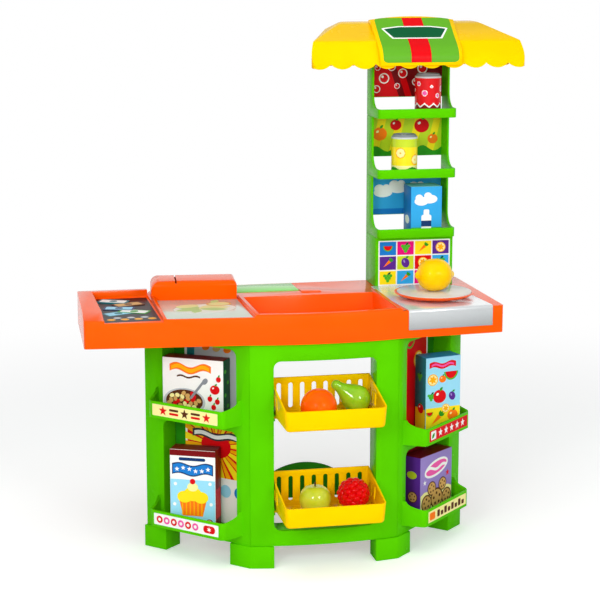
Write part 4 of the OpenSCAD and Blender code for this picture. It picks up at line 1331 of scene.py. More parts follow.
@dataclass
class Awning:
    """The awning and its sign piece. Sizes in millimetres, from the sign's middle and along its face."""

    half: float = 79.0
    stripe: float = 21.0
    stripe_inset: float = 0.3
    foot: float = 963.0
    aim_drop: float = 30.0
    corner: float = 9.0
    margin: float = 5.0
    film: float = 0.25
    columns: int = 48
    rows: int = 64
    casts: int = 400
    front_limit: float = -0.2
    row_gap: float = 0.4
    end_gap: float = 0.01

    def build(self) -> None:
        """Builds the mouldings and the sign's sticker."""
        soften("awning", YELLOW, 0.7)
        soften("awning_sign", YELLOW, 1.0)
        self.sticker()

    def surface(self) -> BVHTree:
        """Returns the sign's own faces for laying film on them.

        Returns:
            A tree of the sign's triangles.
        """
        data = frame["nodes"]["awning_sign"].data
        data.calc_loop_triangles()
        points = [v.co.copy() for v in data.vertices]
        return BVHTree.FromPolygons(points, [tuple(t.vertices) for t in data.loop_triangles])

    def path(self, surface: BVHTree) -> list[Vector]:
        """Walks up the front of the sign's middle.

        Args:
            surface: The sign's faces.

        Returns:
            Places from the foot up to the ridge.
        """
        low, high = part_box("awning_sign")
        aim = Vector(((low.x + high.x) / 2, high.y, (self.foot - self.aim_drop) * MM))
        spots = []
        for k in range(self.casts):
            angle = math.pi * 0.5 * k / (self.casts - 1)
            away = Vector((0.0, -math.cos(angle), math.sin(angle)))
            spot, normal, _, _ = surface.ray_cast(aim + away, -away)
            if spot and spot.z > self.foot * MM and normal.y < self.front_limit:
                spots.append(spot)
        return spots

    def spaced(self, spots: Sequence[Vector]) -> list[tuple[Vector, float]]:
        """Picks rows at even steps along the walk, with each row's distance from the foot.

        Args:
            spots: Places from the foot up to the ridge.

        Returns:
            Each row's place and its distance.
        """
        runs = [0.0]
        for a, b in zip(spots[:-1], spots[1:]):
            runs.append(runs[-1] + (b - a).length / MM)
        total = runs[-1] - self.margin
        rows = []
        k = 0
        for step in range(self.rows + 1):
            want = total * step / self.rows
            while runs[k + 1] < want:
                k += 1
            share = (want - runs[k]) / max(runs[k + 1] - runs[k], 1e-9)
            rows.append((spots[k].lerp(spots[k + 1], share), want))
        return rows

    def sticker(self) -> None:
        """Lays the striped film over the sign, with a bare plaque on it."""
        surface = self.surface()
        rows = self.spaced(self.path(surface))
        prints = PrintMesh()
        top = rows[-1][1]
        low, high, wide = self.stripe_inset, top - self.stripe_inset, self.stripe
        board = [(-70, top - 32), (-52, top - 64), (52, top - 64), (70, top - 32), (34, top - 26),
                 (-34, top - 26)]
        inner = [(-65, top - 34.5), (-49, top - 61), (49, top - 61), (65, top - 34.5), (33, top - 29),
                 (-33, top - 29)]
        films = ((rounded(-self.half, self.half, 0, top, self.corner), Ink.STICKER),
                 ([(-wide, low), (wide, low), (wide, high), (-wide, high)], Ink.RED),
                 (board, Ink.WHITE), (inner, Ink.DARK_GREEN))
        for level, (outline, ink) in enumerate(films):
            self.film_on(prints, surface, rows, outline, ink, level)
        prints.piece("sign_sticker", LABEL)

    def span(self, outline: Sequence[Point], run: float) -> Point:
        """Finds the left and right edge of an outline at a distance from the foot.

        Args:
            outline: Outline, across and up.
            run: Distance from the foot.

        Returns:
            Both edges.
        """
        cuts = []
        for (x0, y0), (x1, y1) in zip(outline, list(outline[1:]) + [outline[0]]):
            if (y0 <= run) != (y1 <= run):
                cuts.append(x0 + (x1 - x0) * (run - y0) / (y1 - y0))
        return min(cuts), max(cuts)

    def film_on(self, prints: PrintMesh, surface: BVHTree, rows: Sequence[tuple[Vector, float]],
                outline: Sequence[Point], ink: Ink, level: int) -> None:
        """Lays one closed film.

        Args:
            prints: Mesh to add to.
            surface: The sign's faces.
            rows: Places up the sign's middle with their distances.
            outline: Film's outline, across and up.
            ink: Colour.
            level: Layer, which sets how far it stands off the sign.
        """
        low = min(y for _, y in outline)
        high = max(y for _, y in outline)
        inside = [run for _, run in rows if low + self.row_gap < run < high - self.row_gap]
        top, bottom = [], []
        for run in [low + self.end_gap, *inside, high - self.end_gap]:
            left, right = self.span(outline, run)
            k = min(max(i for i, (_, r) in enumerate(rows) if r <= run + 1e-6), len(rows) - 2)
            middle = rows[k][0].lerp(rows[k + 1][0], (run - rows[k][1]) / (rows[k + 1][1] - rows[k][1]))
            top.append([])
            bottom.append([])
            for c in range(self.columns + 1):
                across = left + (right - left) * c / self.columns
                start = Vector((middle.x + across * MM, middle.y, middle.z))
                spot, normal, _, _ = surface.find_nearest(start)
                top[-1].append(prints.shape.verts.new(spot + normal * self.film * (level + 1) * MM))
                bottom[-1].append(prints.shape.verts.new(spot - normal * self.film * MM))
        faces = []
        last = len(top) - 1
        wide = self.columns
        make = prints.shape.faces.new
        for r in range(last):
            for c in range(wide):
                faces.append(make((top[r][c], top[r][c + 1], top[r + 1][c + 1], top[r + 1][c])))
                faces.append(make((bottom[r][c], bottom[r + 1][c], bottom[r + 1][c + 1], bottom[r][c + 1])))
            faces.append(make((top[r][0], top[r + 1][0], bottom[r + 1][0], bottom[r][0])))
            faces.append(make((top[r][wide], bottom[r][wide], bottom[r + 1][wide], top[r + 1][wide])))
        for c in range(wide):
            faces.append(make((top[0][c], bottom[0][c], bottom[0][c + 1], top[0][c + 1])))
            faces.append(make((top[last][c], top[last][c + 1], bottom[last][c + 1], bottom[last][c])))
        prints.paint(faces, ink.colour)


@dataclass
class Baskets:
    """The two pull-out baskets."""

    nodes: tuple[str, ...] = ("upper_basket", "lower_basket")

    def build(self) -> None:
        """Builds both baskets."""
        for node in self.nodes:
            soften(node, YELLOW, 0.7)


def lathe(profile: Sequence[Point], place: Matrix, steps: int,
          painter: Optional[Painter] = None) -> PrintMesh:
    """Turns a profile into a closed mesh.

    Args:
        profile: Radius and height in millimetres, with zero radius at both ends.
        place: Place of the finished shape, in metres.
        steps: Steps round the axis.
        painter: Ink for an angle and a height, if the piece is printed.

    Returns:
        The mesh, still open to more shapes.
    """
    made = PrintMesh()
    rings = []
    for r, z in profile:
        spots = [(r * math.cos(a), r * math.sin(a), z) for a in ring(steps)] if r > 0 else [(0.0, 0.0, z)]
        rings.append([made.shape.verts.new(place @ (Vector(spot) * MM)) for spot in spots])
    for i, (low, high) in enumerate(zip(rings[:-1], rings[1:])):
        for k in range(steps):
            j = (k + 1) % steps
            if len(low) == 1:
                corners = (low[0], high[j], high[k])
            elif len(high) == 1:
                corners = (low[k], low[j], high[0])
            else:
                corners = (low[k], low[j], high[j], high[k])
            face = made.shape.faces.new(corners)
            if painter:
                height = (profile[i][1] + profile[i + 1][1]) / 2
                made.paint([face], painter(2 * math.pi * (k + 0.5) / steps, height))
    return made


def smooth_profile(points: Sequence[Point], rounds: int = 3) -> list[Point]:
    """Cuts a profile's corners until it is smooth, keeping both ends.

    Args:
        points: Radius and height of each corner.
        rounds: How often the corners are cut.

    Returns:
        The smooth profile.
    """
    work = list(points)
    for _ in range(rounds):
        cut = [work[0]]
        for a, b in zip(work[:-1], work[1:]):
            cut.append((a[0] * 0.75 + b[0] * 0.25, a[1] * 0.75 + b[1] * 0.25))
            cut.append((a[0] * 0.25 + b[0] * 0.75, a[1] * 0.25 + b[1] * 0.75))
        work = cut + [work[-1]]
    return work


def centre_of(node: str) -> Vector:
    """Returns the middle of a node's box."""
    low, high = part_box(node)
    return (low + high) / 2


def foot_of(node: str) -> Vector:
    """Returns the middle of the underside of a node's box."""
    low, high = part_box(node)
    return Vector(((low.x + high.x) / 2, (low.y + high.y) / 2, low.z))


@dataclass
class PlayFood:
    """The play fruit in the baskets and on the scale. Sizes in millimetres, turns in degrees."""

    steps: int = 72
    sharp: float = 60.0
    orange_r: float = 35.0
    apple_r: float = 31.0
    pear_r: float = 28.0
    pear_neck: float = 0.34
    pear_len: float = 60.0
    pear_tilt: float = -53.0
    pear_foot: Point = (63.69, 6.88)
    berry_r: float = 25.6
    bead_r: float = 8.4
    bead_seat: float = 0.96
    core_share: float = 0.97
    bead_sharp: float = 80.0
    beads: int = 66
    lemon_half: float = 40.0
    lemon_r: float = 32.6

    def build(self) -> None:
        """Builds each fruit in its own body."""
        self.orange()
        self.apple()
        self.pear()
        self.lemon()
        self.berry()

    def spun(self, node: str, profile: Sequence[Point], place: Matrix, finish: FruitSkin) -> None:
        """Adds a fruit turned from a profile."""
        lathe(profile, place, self.steps).piece(node + "_fruit", finish, node, self.sharp)

    def orange(self) -> None:
        """Builds the orange, with a small dimple where its stalk was."""
        r = self.orange_r
        profile = [(0.0, -r * 0.985)]
        for k in range(1, 40):
            a = math.pi * k / 40 - math.pi / 2
            dip = 1 - 0.05 * max(0.0, math.sin(a)) ** 60
            profile.append((r * math.cos(a) * dip, r * math.sin(a) * dip))
        profile.append((0.0, r * 0.94))
        self.spun("orange", profile, Matrix.Translation(centre_of("orange")), ORANGE_SKIN)

    def apple(self) -> None:
        """Builds the apple, with a dimple at each end and a stalk."""
        r = self.apple_r
        middle = centre_of("apple")
        profile = []
        for k in range(45):
            a = math.pi * k / 44 - math.pi / 2
            dip = 1 - 0.16 * abs(math.sin(a)) ** 10
            profile.append((r * dip * math.cos(a) if 0 < k < 44 else 0.0, r * dip * math.sin(a)))
        self.spun("apple", profile, Matrix.Translation(middle), APPLE_SKIN)
        stalk = [(0.0, 0.0), (1.8, 0.0), (1.5, 6.0), (2.0, 9.0), (0.0, 9.4)]
        made = lathe(stalk, Matrix.Translation(middle + UP * r * 0.8 * MM), 14)
        add_piece("apple_stalk", mesh_from(made.shape, "apple_stalk"), STALK, body_of("apple"))

    def pear(self) -> None:
        """Builds the tilted pear."""
        r, neck = self.pear_r, self.pear_r * self.pear_neck
        shoulder = self.pear_len - neck
        profile = [(0.0, -r)]
        for k in range(1, 13):
            a = math.pi / 2 * (k / 12 - 1)
            profile.append((r * math.cos(a), r * math.sin(a)))
        for k in range(1, 14):
            profile.append((neck + (r - neck) * (1 + math.cos(math.pi * k / 14)) / 2, shoulder * k / 14))
        for k in range(8):
            a = math.pi / 2 * k / 8
            profile.append((neck * math.cos(a), shoulder + neck * math.sin(a)))
        profile.append((0.0, self.pear_len))
        foot = from_plan(*self.pear_foot, 0.0)
        foot.z = foot_of("pear").z + r * MM
        place = Matrix.Translation(foot) @ Matrix.Rotation(math.radians(self.pear_tilt), 4, "Y")
        self.spun("pear", profile, place, PEAR_SKIN)

    def lemon(self) -> None:
        """Builds the lemon with its two nubs."""
        side = ((0.0, 1.0), (4.2, 1.0), (7.0, 0.93), (9.5, 0.86), (20.0, 0.76), (29.0, 0.5),
                (self.lemon_r, 0.2))
        profile = [(r, -self.lemon_half * share) for r, share in side]
        profile += [(r, self.lemon_half * share) for r, share in side[::-1]]
        place = Matrix.Translation(centre_of("lemon")) @ Matrix.Rotation(math.pi / 2, 4, "Y")
        self.spun("lemon", smooth_profile(profile), place, LEMON_SKIN)

    def berry(self) -> None:
        """Builds the berry fruit from beads laid in a spiral over its body."""
        middle = centre_of("berry")
        points = []
        for k in range(self.beads):
            z = 1 - 2 * (k + 0.5) / self.beads
            a = k * math.pi * (3 - math.sqrt(5))
            reach = math.sqrt(1 - z * z)
            away = Vector((reach * math.cos(a), reach * math.sin(a), z))
            points.append(middle + away * self.berry_r * MM * self.bead_seat)
        sizes = {"Bead radius": self.bead_r * MM, "Body radius": self.berry_r * MM * self.core_share}
        tree = GeometryTree("berry_tree", sizes)
        bead = tree.add("GeometryNodeMeshIcoSphere", {"Subdivisions": 3})
        tree.link(tree.start, "Bead radius", bead, "Radius")
        scatter = tree.add("GeometryNodeInstanceOnPoints")
        tree.link(tree.start, "Geometry", scatter, "Points")
        tree.link(bead, "Mesh", scatter, "Instance")
        core = tree.add("GeometryNodeMeshIcoSphere", {"Subdivisions": 4})
        tree.link(tree.start, "Body radius", core, "Radius")
        both = tree.joined((scatter, tree.moved(core, middle)))
        mesh = tree.bake(both, BERRY_SKIN, points, "berry_fruit")
        add_piece("berry_fruit", mesh, BERRY_SKIN, body_of("berry"), "berry", self.bead_sharp)


@dataclass
class Cans:
    """The two drinks cans. Sizes in millimetres."""

    r: float = 27.0
    high: float = 85.0
    neck: float = 0.86
    steps: int = 144
    wall_steps: int = 60
    sharp: float = 40.0

    def build(self) -> None:
        """Builds both cans."""
        self.can("red_can", self.red)
        self.can("yellow_can", self.yellow)

    def bare(self, z: float) -> Optional[Colour]:
        """Inks the bare ends, silver with a grey lid, and leaves the printed height.

        Args:
            z: Height in millimetres.

        Returns:
            The colour, or None where the can is printed.
        """
        if 5 <= z <= self.high - 9:
            return None
        return (Ink.GREY if z > self.high - 4 else Ink.SILVER).colour

    def gap(self, angle: float, turn: float, rise: float) -> float:
        """Measures on the wall from a spot, given by its share of the turn and its rise over it."""
        across = (angle - 2 * math.pi * turn + math.pi) % (2 * math.pi) - math.pi
        return math.hypot(across * self.r, rise)

    def red(self, angle: float, z: float) -> Colour:
        """Inks the red can: pale bubbles over a red body with a zigzag foot.

        Args:
            angle: Angle round the can, in radians.
            z: Height in millimetres.

        Returns:
            The colour there.
        """
        zigzag = 18 + 7 * abs((angle * 9 / math.pi) % 2 - 1)
        if self.bare(z):
            return self.bare(z)
        if abs(z - zigzag) < 1.6:
            return Ink.WHITE.colour
        if z < zigzag:
            return Ink.DARK_RED.colour
        for k in range(12):
            gap = self.gap(angle, k / 12, z - (36 + 29 * ((k * 5) % 12) / 11))
            size = 3.2 + 1.5 * (k % 3)
            if gap < size:
                return (Ink.WHITE if gap > size - 1.5 else Ink.PINK).colour
        return Ink.RED.colour

    def yellow(self, angle: float, z: float) -> Colour:
        """Inks the yellow can: pale slices over a yellow body.

        Args:
            angle: Angle round the can, in radians.
            z: Height in millimetres.

        Returns:
            The colour there.
        """
        if self.bare(z):
            return self.bare(z)
        for k in range(5):
            gap = self.gap(angle, (k + 0.3) / 5, z - (34 + 14 * (k % 2)))
            if gap < 11:
                return (Ink.AMBER if gap > 9 or gap < 2 else Ink.CREAM).colour
        if z < 16 + 3 * math.sin(angle * 4):
            return Ink.LEAF.colour
        return (Ink.LIME if z > 60 else Ink.CREAM if z < 22 else Ink.YELLOW).colour

    def can(self, node: str, painter: Painter) -> None:
        """Builds one can.

        Args:
            node: CAD node that it stands for.
            painter: Inks of its body.
        """
        r, high, neck = self.r, self.high, self.r * self.neck
        place = Matrix.Translation(foot_of(node))
        wall = [(r, 6.0 + (high - 12.0) * k / self.wall_steps) for k in range(self.wall_steps + 1)]
        profile = [(0.0, 3.0), (neck - 3, 2.0), (neck - 1.6, 0.2), (neck - 0.6, 0.0), (neck, 0.6),
                   (neck + 1.2, 2.2), (r - 0.6, 5.0), *wall, (r - 0.7, high - 5.0), (neck + 0.9, high - 2.4),
                   (neck, high - 1.6), (neck + 0.3, high - 0.5), (neck - 0.5, high), (neck - 1.4, high - 0.5),
                   (neck - 1.8, high - 3.0), (neck - 4.0, high - 3.4), (0.0, high - 3.0)]
        made = lathe(profile, place, self.steps, painter)
        lid = made.face(place @ (UP * (high - 3.1) * MM), RIGHT, REAR)
        lid.disc(0, -9, 8, 6, Ink.GREY, 1)
        lid.block(-4, 4, -7, 12, Ink.SILVER, 6, 3.6)
        lid.disc(0, 7, 2.2, 2.6, Ink.GREY, 7)
        made.piece(node + "_drink", CAN, node, self.sharp)


@dataclass
class Fastenings:
    """Cross-head screws on the hidden rear. Sizes in millimetres."""

    head_r: float = 4.2
    head_h: float = 1.6
    head_taper: float = 0.72
    slot_long: float = 4.8
    slot_wide: float = 1.1
    slot_deep: float = 0.5
    tower_x: Point = (182.0, 310.0)
    tower_face: float = 340.0
    shelf_low: float = 603.0
    shelf_pitch: float = 123.0
    panel_face: float = 46.0

    def build(self) -> None:
        """Sets the screws with one tree for each rear plane."""
        places = [(x, self.shelf_low + self.shelf_pitch * level + dz) for level in range(3)
                  for x in self.tower_x for dz in (48.0, 112.0)]
        places += [(x, z) for x in self.tower_x for z in (512.0, 592.0)]
        self.screws("tower_screws", [from_plan(x, self.tower_face, z) for x, z in places], 180.0)
        for hand in Hand:
            spots = [hand.place(x, self.panel_face, z) for x in (36.0, 200.0) for z in (60.0, 245.0, 430.0)]
            self.screws(hand.name.lower() + "_panel_screws", spots, 180.0 + hand.value * SIDE_TURN)

    def screws(self, name: str, spots: Sequence[Vector], turn: float) -> None:
        """Sets a row of screws.

        Args:
            name: Piece name.
            spots: Places of the heads.
            turn: Turn of their outward direction about Z, from the front, in degrees.
        """
        sizes = {"Head radius": self.head_r * MM, "Head height": self.head_h * MM}
        tree = GeometryTree(name + "_tree", sizes)
        head = tree.add("GeometryNodeMeshCone", {"Vertices": 24}, fill_type="NGON")
        tree.link(tree.start, "Head radius", head, "Radius Bottom")
        shrink = tree.add("ShaderNodeMath", {1: self.head_taper}, operation="MULTIPLY")
        tree.link(tree.start, "Head radius", shrink, 0)
        tree.link(shrink, "Value", head, "Radius Top")
        tree.link(tree.start, "Head height", head, "Depth")
        parts = [head]
        for long, wide in ((self.slot_long, self.slot_wide), (self.slot_wide, self.slot_long)):
            bar = tree.add("GeometryNodeMeshCube", {"Size": (long * MM, wide * MM, self.slot_deep * MM)})
            parts.append(tree.moved(bar, (0.0, 0.0, self.head_h * MM)))
        lean = (math.pi / 2, 0.0, math.radians(turn))
        scatter = tree.add("GeometryNodeInstanceOnPoints", {"Rotation": lean})
        tree.link(tree.start, "Geometry", scatter, "Points")
        tree.link(tree.joined(parts), "Geometry", scatter, "Instance")
        add_piece(name, tree.bake(scatter, STEEL, spots, name), STEEL)


@dataclass
class Pack:
    """A folded pack: sizes in millimetres, its turn in degrees and its faces' inks."""

    node: str
    wide: float
    deep: float
    high: float
    turn: float
    front: Ink
    side: Ink
    top: Ink
    edge: float = 1.2

    def build(self) -> None:
        """Builds the pack's body, its printed front, its flaps and its printed sides."""
        middle = foot_of(self.node)
        turn = Matrix.Rotation(math.radians(self.turn), 4, "Z")
        prints = PrintMesh()
        self.body(prints, Matrix.Translation(middle) @ turn)
        across, inward = turn @ RIGHT, turn @ REAR
        aside, back = across * self.wide / 2 * MM, inward * self.deep / 2 * MM
        self.front_print(prints.face(middle - aside - back, across, UP, self.wide, self.high))
        roof = middle + UP * self.high * MM - aside - back
        self.flaps(prints.face(roof, across, inward, self.wide, self.deep))
        for sign in (-1, 1):
            corner = middle + (aside - back) * sign
            self.side_print(prints.face(corner, inward * sign, UP, self.deep, self.high))
        prints.piece(self.node + "_pack", CARD, self.node)

    def body(self, prints: PrintMesh, place: Matrix) -> None:
        """Adds the folded body with rounded edges and its inks.

        Args:
            prints: Empty mesh to add to.
            place: Place of the pack, in metres.
        """
        size = Matrix.Diagonal((self.wide * MM, self.deep * MM, self.high * MM, 1.0))
        lift = Matrix.Translation((0.0, 0.0, 0.5))
        made = bmesh.ops.create_cube(prints.shape, size=1.0, matrix=size @ lift)
        edges = {edge for vert in made["verts"] for edge in vert.link_edges}
        bmesh.ops.bevel(prints.shape, geom=list(edges), offset=self.edge * MM, segments=2, profile=0.5,
                        affect="EDGES")
        for face in prints.shape.faces:
            face.normal_update()
            y, z = abs(face.normal.y), abs(face.normal.z)
            ink = self.top if z > 0.8 else self.front if y > 0.6 else self.side
            prints.paint([face], ink.colour)
        bmesh.ops.transform(prints.shape, matrix=place, verts=prints.shape.verts)

    def flaps(self, face: PrintFace) -> None:
        """Adds the flap and its tongue on the top."""
        face.block(3, face.wide - 3, 2, face.high * 0.56, self.top, 0)
        face.tile((0.36, 0.64), (0.56, 0.8), self.top, 1, 2)

    def front_print(self, face: PrintFace) -> None:
        """Prints the front face."""
        raise NotImplementedError

    def side_print(self, face: PrintFace) -> None:
        """Prints one side face."""
        raise NotImplementedError


class CerealBox(Pack):
    """The box with a bowl, a spoon and berries."""

    def front_print(self, face: PrintFace) -> None:
        """Prints the front face.

        Args:
            face: Face to print on.
        """
        face.wave((0.12, 0.8), 0.83, 4.5, 14, Ink.ORANGE, 0)
        face.wave((0.15, 0.77), 0.83, 4.5, 7, Ink.AMBER, 1)
        face.wave((0.24, 0.62), 0.69, 2.0, 3.5, Ink.BROWN, 0)
        face.disc(*face.spot(0.36, 0.26), 44, 27, Ink.SILVER, 0)
        x, y = face.spot(0.36, 0.27)
        face.disc(x, y, 39, 23, Ink.BROWN, 1)
        for k in range(26):
            reach = math.sqrt((k + 0.5) / 26)
            ink = (Ink.RED, Ink.TAN, Ink.CREAM, Ink.TAN)[k % 4]
            across, up = 34 * reach * math.cos(2.4 * k), 18 * reach * math.sin(2.4 * k)
            face.disc(x + across, y + up, 5, 4, ink, 2, 50 * k)
        face.shape(turned(rounded(-2.4, 2.4, 0, 46, 2), *face.spot(0.46, 0.32), -38), Ink.GREY, 3)
        face.disc(*face.spot(0.7, 0.63), 5, 7, Ink.GREY, 3, -38)
        face.fruit(Fruit.ROUND, *face.spot(0.86, 0.5), 10)
        for place in ((0.78, 0.34), (0.9, 0.3), (0.84, 0.2), (0.92, 0.68)):
            x, y = face.spot(*place)
            face.disc(x, y, 5, 5.6, Ink.RED, 1)
            face.leaf(x, y + 4, 6, 70, Ink.LEAF, 2)

    def side_print(self, face: PrintFace) -> None:
        """Prints one side face."""
        for k in range(4):
            face.disc(*face.spot(0.3 if k % 2 else 0.66, 0.2 + 0.2 * k), 5, 4, Ink.GREEN, 0)


class SnackBox(Pack):
    """The box with a small cake, stars and biscuits."""

    def front_print(self, face: PrintFace) -> None:
        """Prints the front face.

        Args:
            face: Face to print on.
        """
        wide, high = face.wide, face.high
        face.block(0, wide, high * 0.92, high - 1, Ink.DARK_RED, 0)
        face.block(1, wide - 1, 2, high * 0.62, Ink.SKY, 0)
        face.tile((0.2, 0.78), (0.86, 0.9), Ink.NAVY, 0, 2.8)
        face.wave((0.05, 0.95), 0.75, 3.0, 22, Ink.NAVY, 1)
        face.wave((0.07, 0.93), 0.75, 3.0, 17, Ink.BLUE, 2)
        for k in range(6):
            x, y = face.spot(0.16 + 0.136 * k, 0.75)
            face.shape(star(x, y + 3 * math.sin(k * 1.4), 2.2, 5, 5), Ink.WHITE, 3)
        for place in ((0.12, 0.56), (0.88, 0.58), (0.1, 0.3), (0.9, 0.32)):
            face.disc(*face.spot(*place), 3.4, 3.4, Ink.WHITE, 1)
        cup = ((0.28, 0.16), (0.72, 0.16), (0.8, 0.36), (0.2, 0.36))
        face.shape([face.spot(*place) for place in cup], Ink.ORANGE, 1)
        for k in range(6):
            face.tile((0.26 + 0.085 * k, 0.285 + 0.085 * k), (0.17, 0.35), Ink.AMBER, 2)
        for x, y, r in ((0.32, 0.4, 15), (0.68, 0.4, 15), (0.5, 0.44, 18)):
            face.disc(*face.spot(x, y), r, r * 0.8, Ink.YELLOW, 3)
        face.disc(*face.spot(0.5, 0.53), 11, 8.8, Ink.CREAM, 4)
        face.disc(*face.spot(0.5, 0.6), 5.5, 5.5, Ink.RED, 5)
        for k in range(4):
            face.biscuit(*face.spot(0.14 + 0.24 * k, 0.08), 8)

    def side_print(self, face: PrintFace) -> None:
        """Prints one side face."""
        face.block(4, face.wide - 4, face.high * 0.12, face.high * 0.5, Ink.RED, 0, 3)


class FruitBox(Pack):
    """The box with mixed fruit."""

    def front_print(self, face: PrintFace) -> None:
        """Prints the front face.

        Args:
            face: Face to print on.
        """
        face.block(1, face.wide - 1, 2, face.high * 0.32, Ink.YELLOW, 0)
        face.wave((0.1, 0.86), 0.89, 2.5, 11, Ink.RED, 0)
        face.wave((0.16, 0.8), 0.89, 2.5, 4, Ink.PINK, 1)
        for fruit, x, y, r in ((Fruit.GRAPES, 0.16, 0.47, 9), (Fruit.CITRUS, 0.48, 0.7, 8),
                               (Fruit.SLICE, 0.58, 0.3, 9), (Fruit.MELON, 0.12, 0.24, 8),
                               (Fruit.MELON, 0.72, 0.74, 16), (Fruit.SLICE, 0.2, 0.7, 12),
                               (Fruit.ROUND, 0.4, 0.47, 15), (Fruit.PLUM, 0.76, 0.46, 9),
                               (Fruit.CITRUS, 0.78, 0.2, 12), (Fruit.CARROT, 0.34, 0.17, 15)):
            face.fruit(fruit, *face.spot(x, y), r)

    def side_print(self, face: PrintFace) -> None:
        """Prints one side face.

        Args:
            face: Face to print on.
        """
        face.block(2, face.wide - 2, 3, face.high * 0.3, Ink.YELLOW, 0)
        face.fruit(Fruit.ROUND, *face.spot(0.55, 0.3), 11)
        face.fruit(Fruit.GRAPES, *face.spot(0.45, 0.72), 10)


class CookieBox(Pack):
    """The box with biscuits and a slanted oval."""

    def front_print(self, face: PrintFace) -> None:
        """Prints the front face.

        Args:
            face: Face to print on.
        """
        face.disc(*face.spot(0.5, 0.74), 42, 17, Ink.WHITE, 0, 10)
        face.disc(*face.spot(0.5, 0.74), 37, 12, Ink.PINK, 1, 10)
        face.wave((0.18, 0.82), 0.74, 3.0, 6, Ink.WHITE, 2)
        face.ribbon((1.5, face.wide - 1.5), face.high * 0.2, 6.0, 30, Ink.CREAM, 0)
        for x, y, r in ((0.2, 0.17, 18), (0.52, 0.2, 22), (0.83, 0.18, 17), (0.36, 0.4, 15), (0.7, 0.42, 14)):
            face.biscuit(*face.spot(x, y), r)
        face.shape(star(*face.spot(0.86, 0.58), 3, 7, 5), Ink.RED, 0)
        face.shape(star(*face.spot(0.14, 0.54), 2.4, 6, 5), Ink.WHITE, 0)

    def side_print(self, face: PrintFace) -> None:
        """Prints one side face."""
        face.disc(*face.spot(0.5, 0.68), 12, 8, Ink.LIME, 0)
        face.biscuit(*face.spot(0.55, 0.3), 12)


class MilkCarton(Pack):
    """The carton with a bottle under clouds."""

    def front_print(self, face: PrintFace) -> None:
        """Prints the front face.

        Args:
            face: Face to print on.
        """
        face.block(1, face.wide - 1, 2, face.high * 0.16, Ink.GREEN, 0)
        for place in ((0.34, 0.7), (0.62, 0.74)):
            face.cloud(*face.spot(*place), ((0, 0, 15, 9), (-5, 7, 8, 7)), 0)
        face.tile((0.34, 0.66), (0.1, 0.42), Ink.WHITE, 1, 4)
        face.tile((0.41, 0.59), (0.4, 0.53), Ink.WHITE, 2, 3)
        face.tile((0.34, 0.66), (0.18, 0.3), Ink.NAVY, 3)

    def side_print(self, face: PrintFace) -> None:
        """Prints one side face."""
        face.disc(*face.spot(0.5, 0.3), 15, 9, Ink.WHITE, 0)


@dataclass(frozen=True)
class Lamp:
    """A soft square lamp that faces the stall. Place and size in metres, power in watts."""

    name: str
    place: Place
    size: float
    power: float
    mirrored: bool
    aim: Place = (0.0, 0.0, 0.5)

    def build(self) -> None:
        """Hangs the lamp; shiny faces show it only if it is mirrored."""
        data = bpy.data.lights.new(self.name, "AREA")
        data.size = self.size
        data.energy = self.power
        lamp = bpy.data.objects.new(self.name, data)
        lamp.location = self.place
        lamp.rotation_euler = (Vector(self.aim) - lamp.location).to_track_quat("-Z", "Y").to_euler()
        lamp.visible_glossy = self.mirrored
        bpy.context.scene.collection.objects.link(lamp)


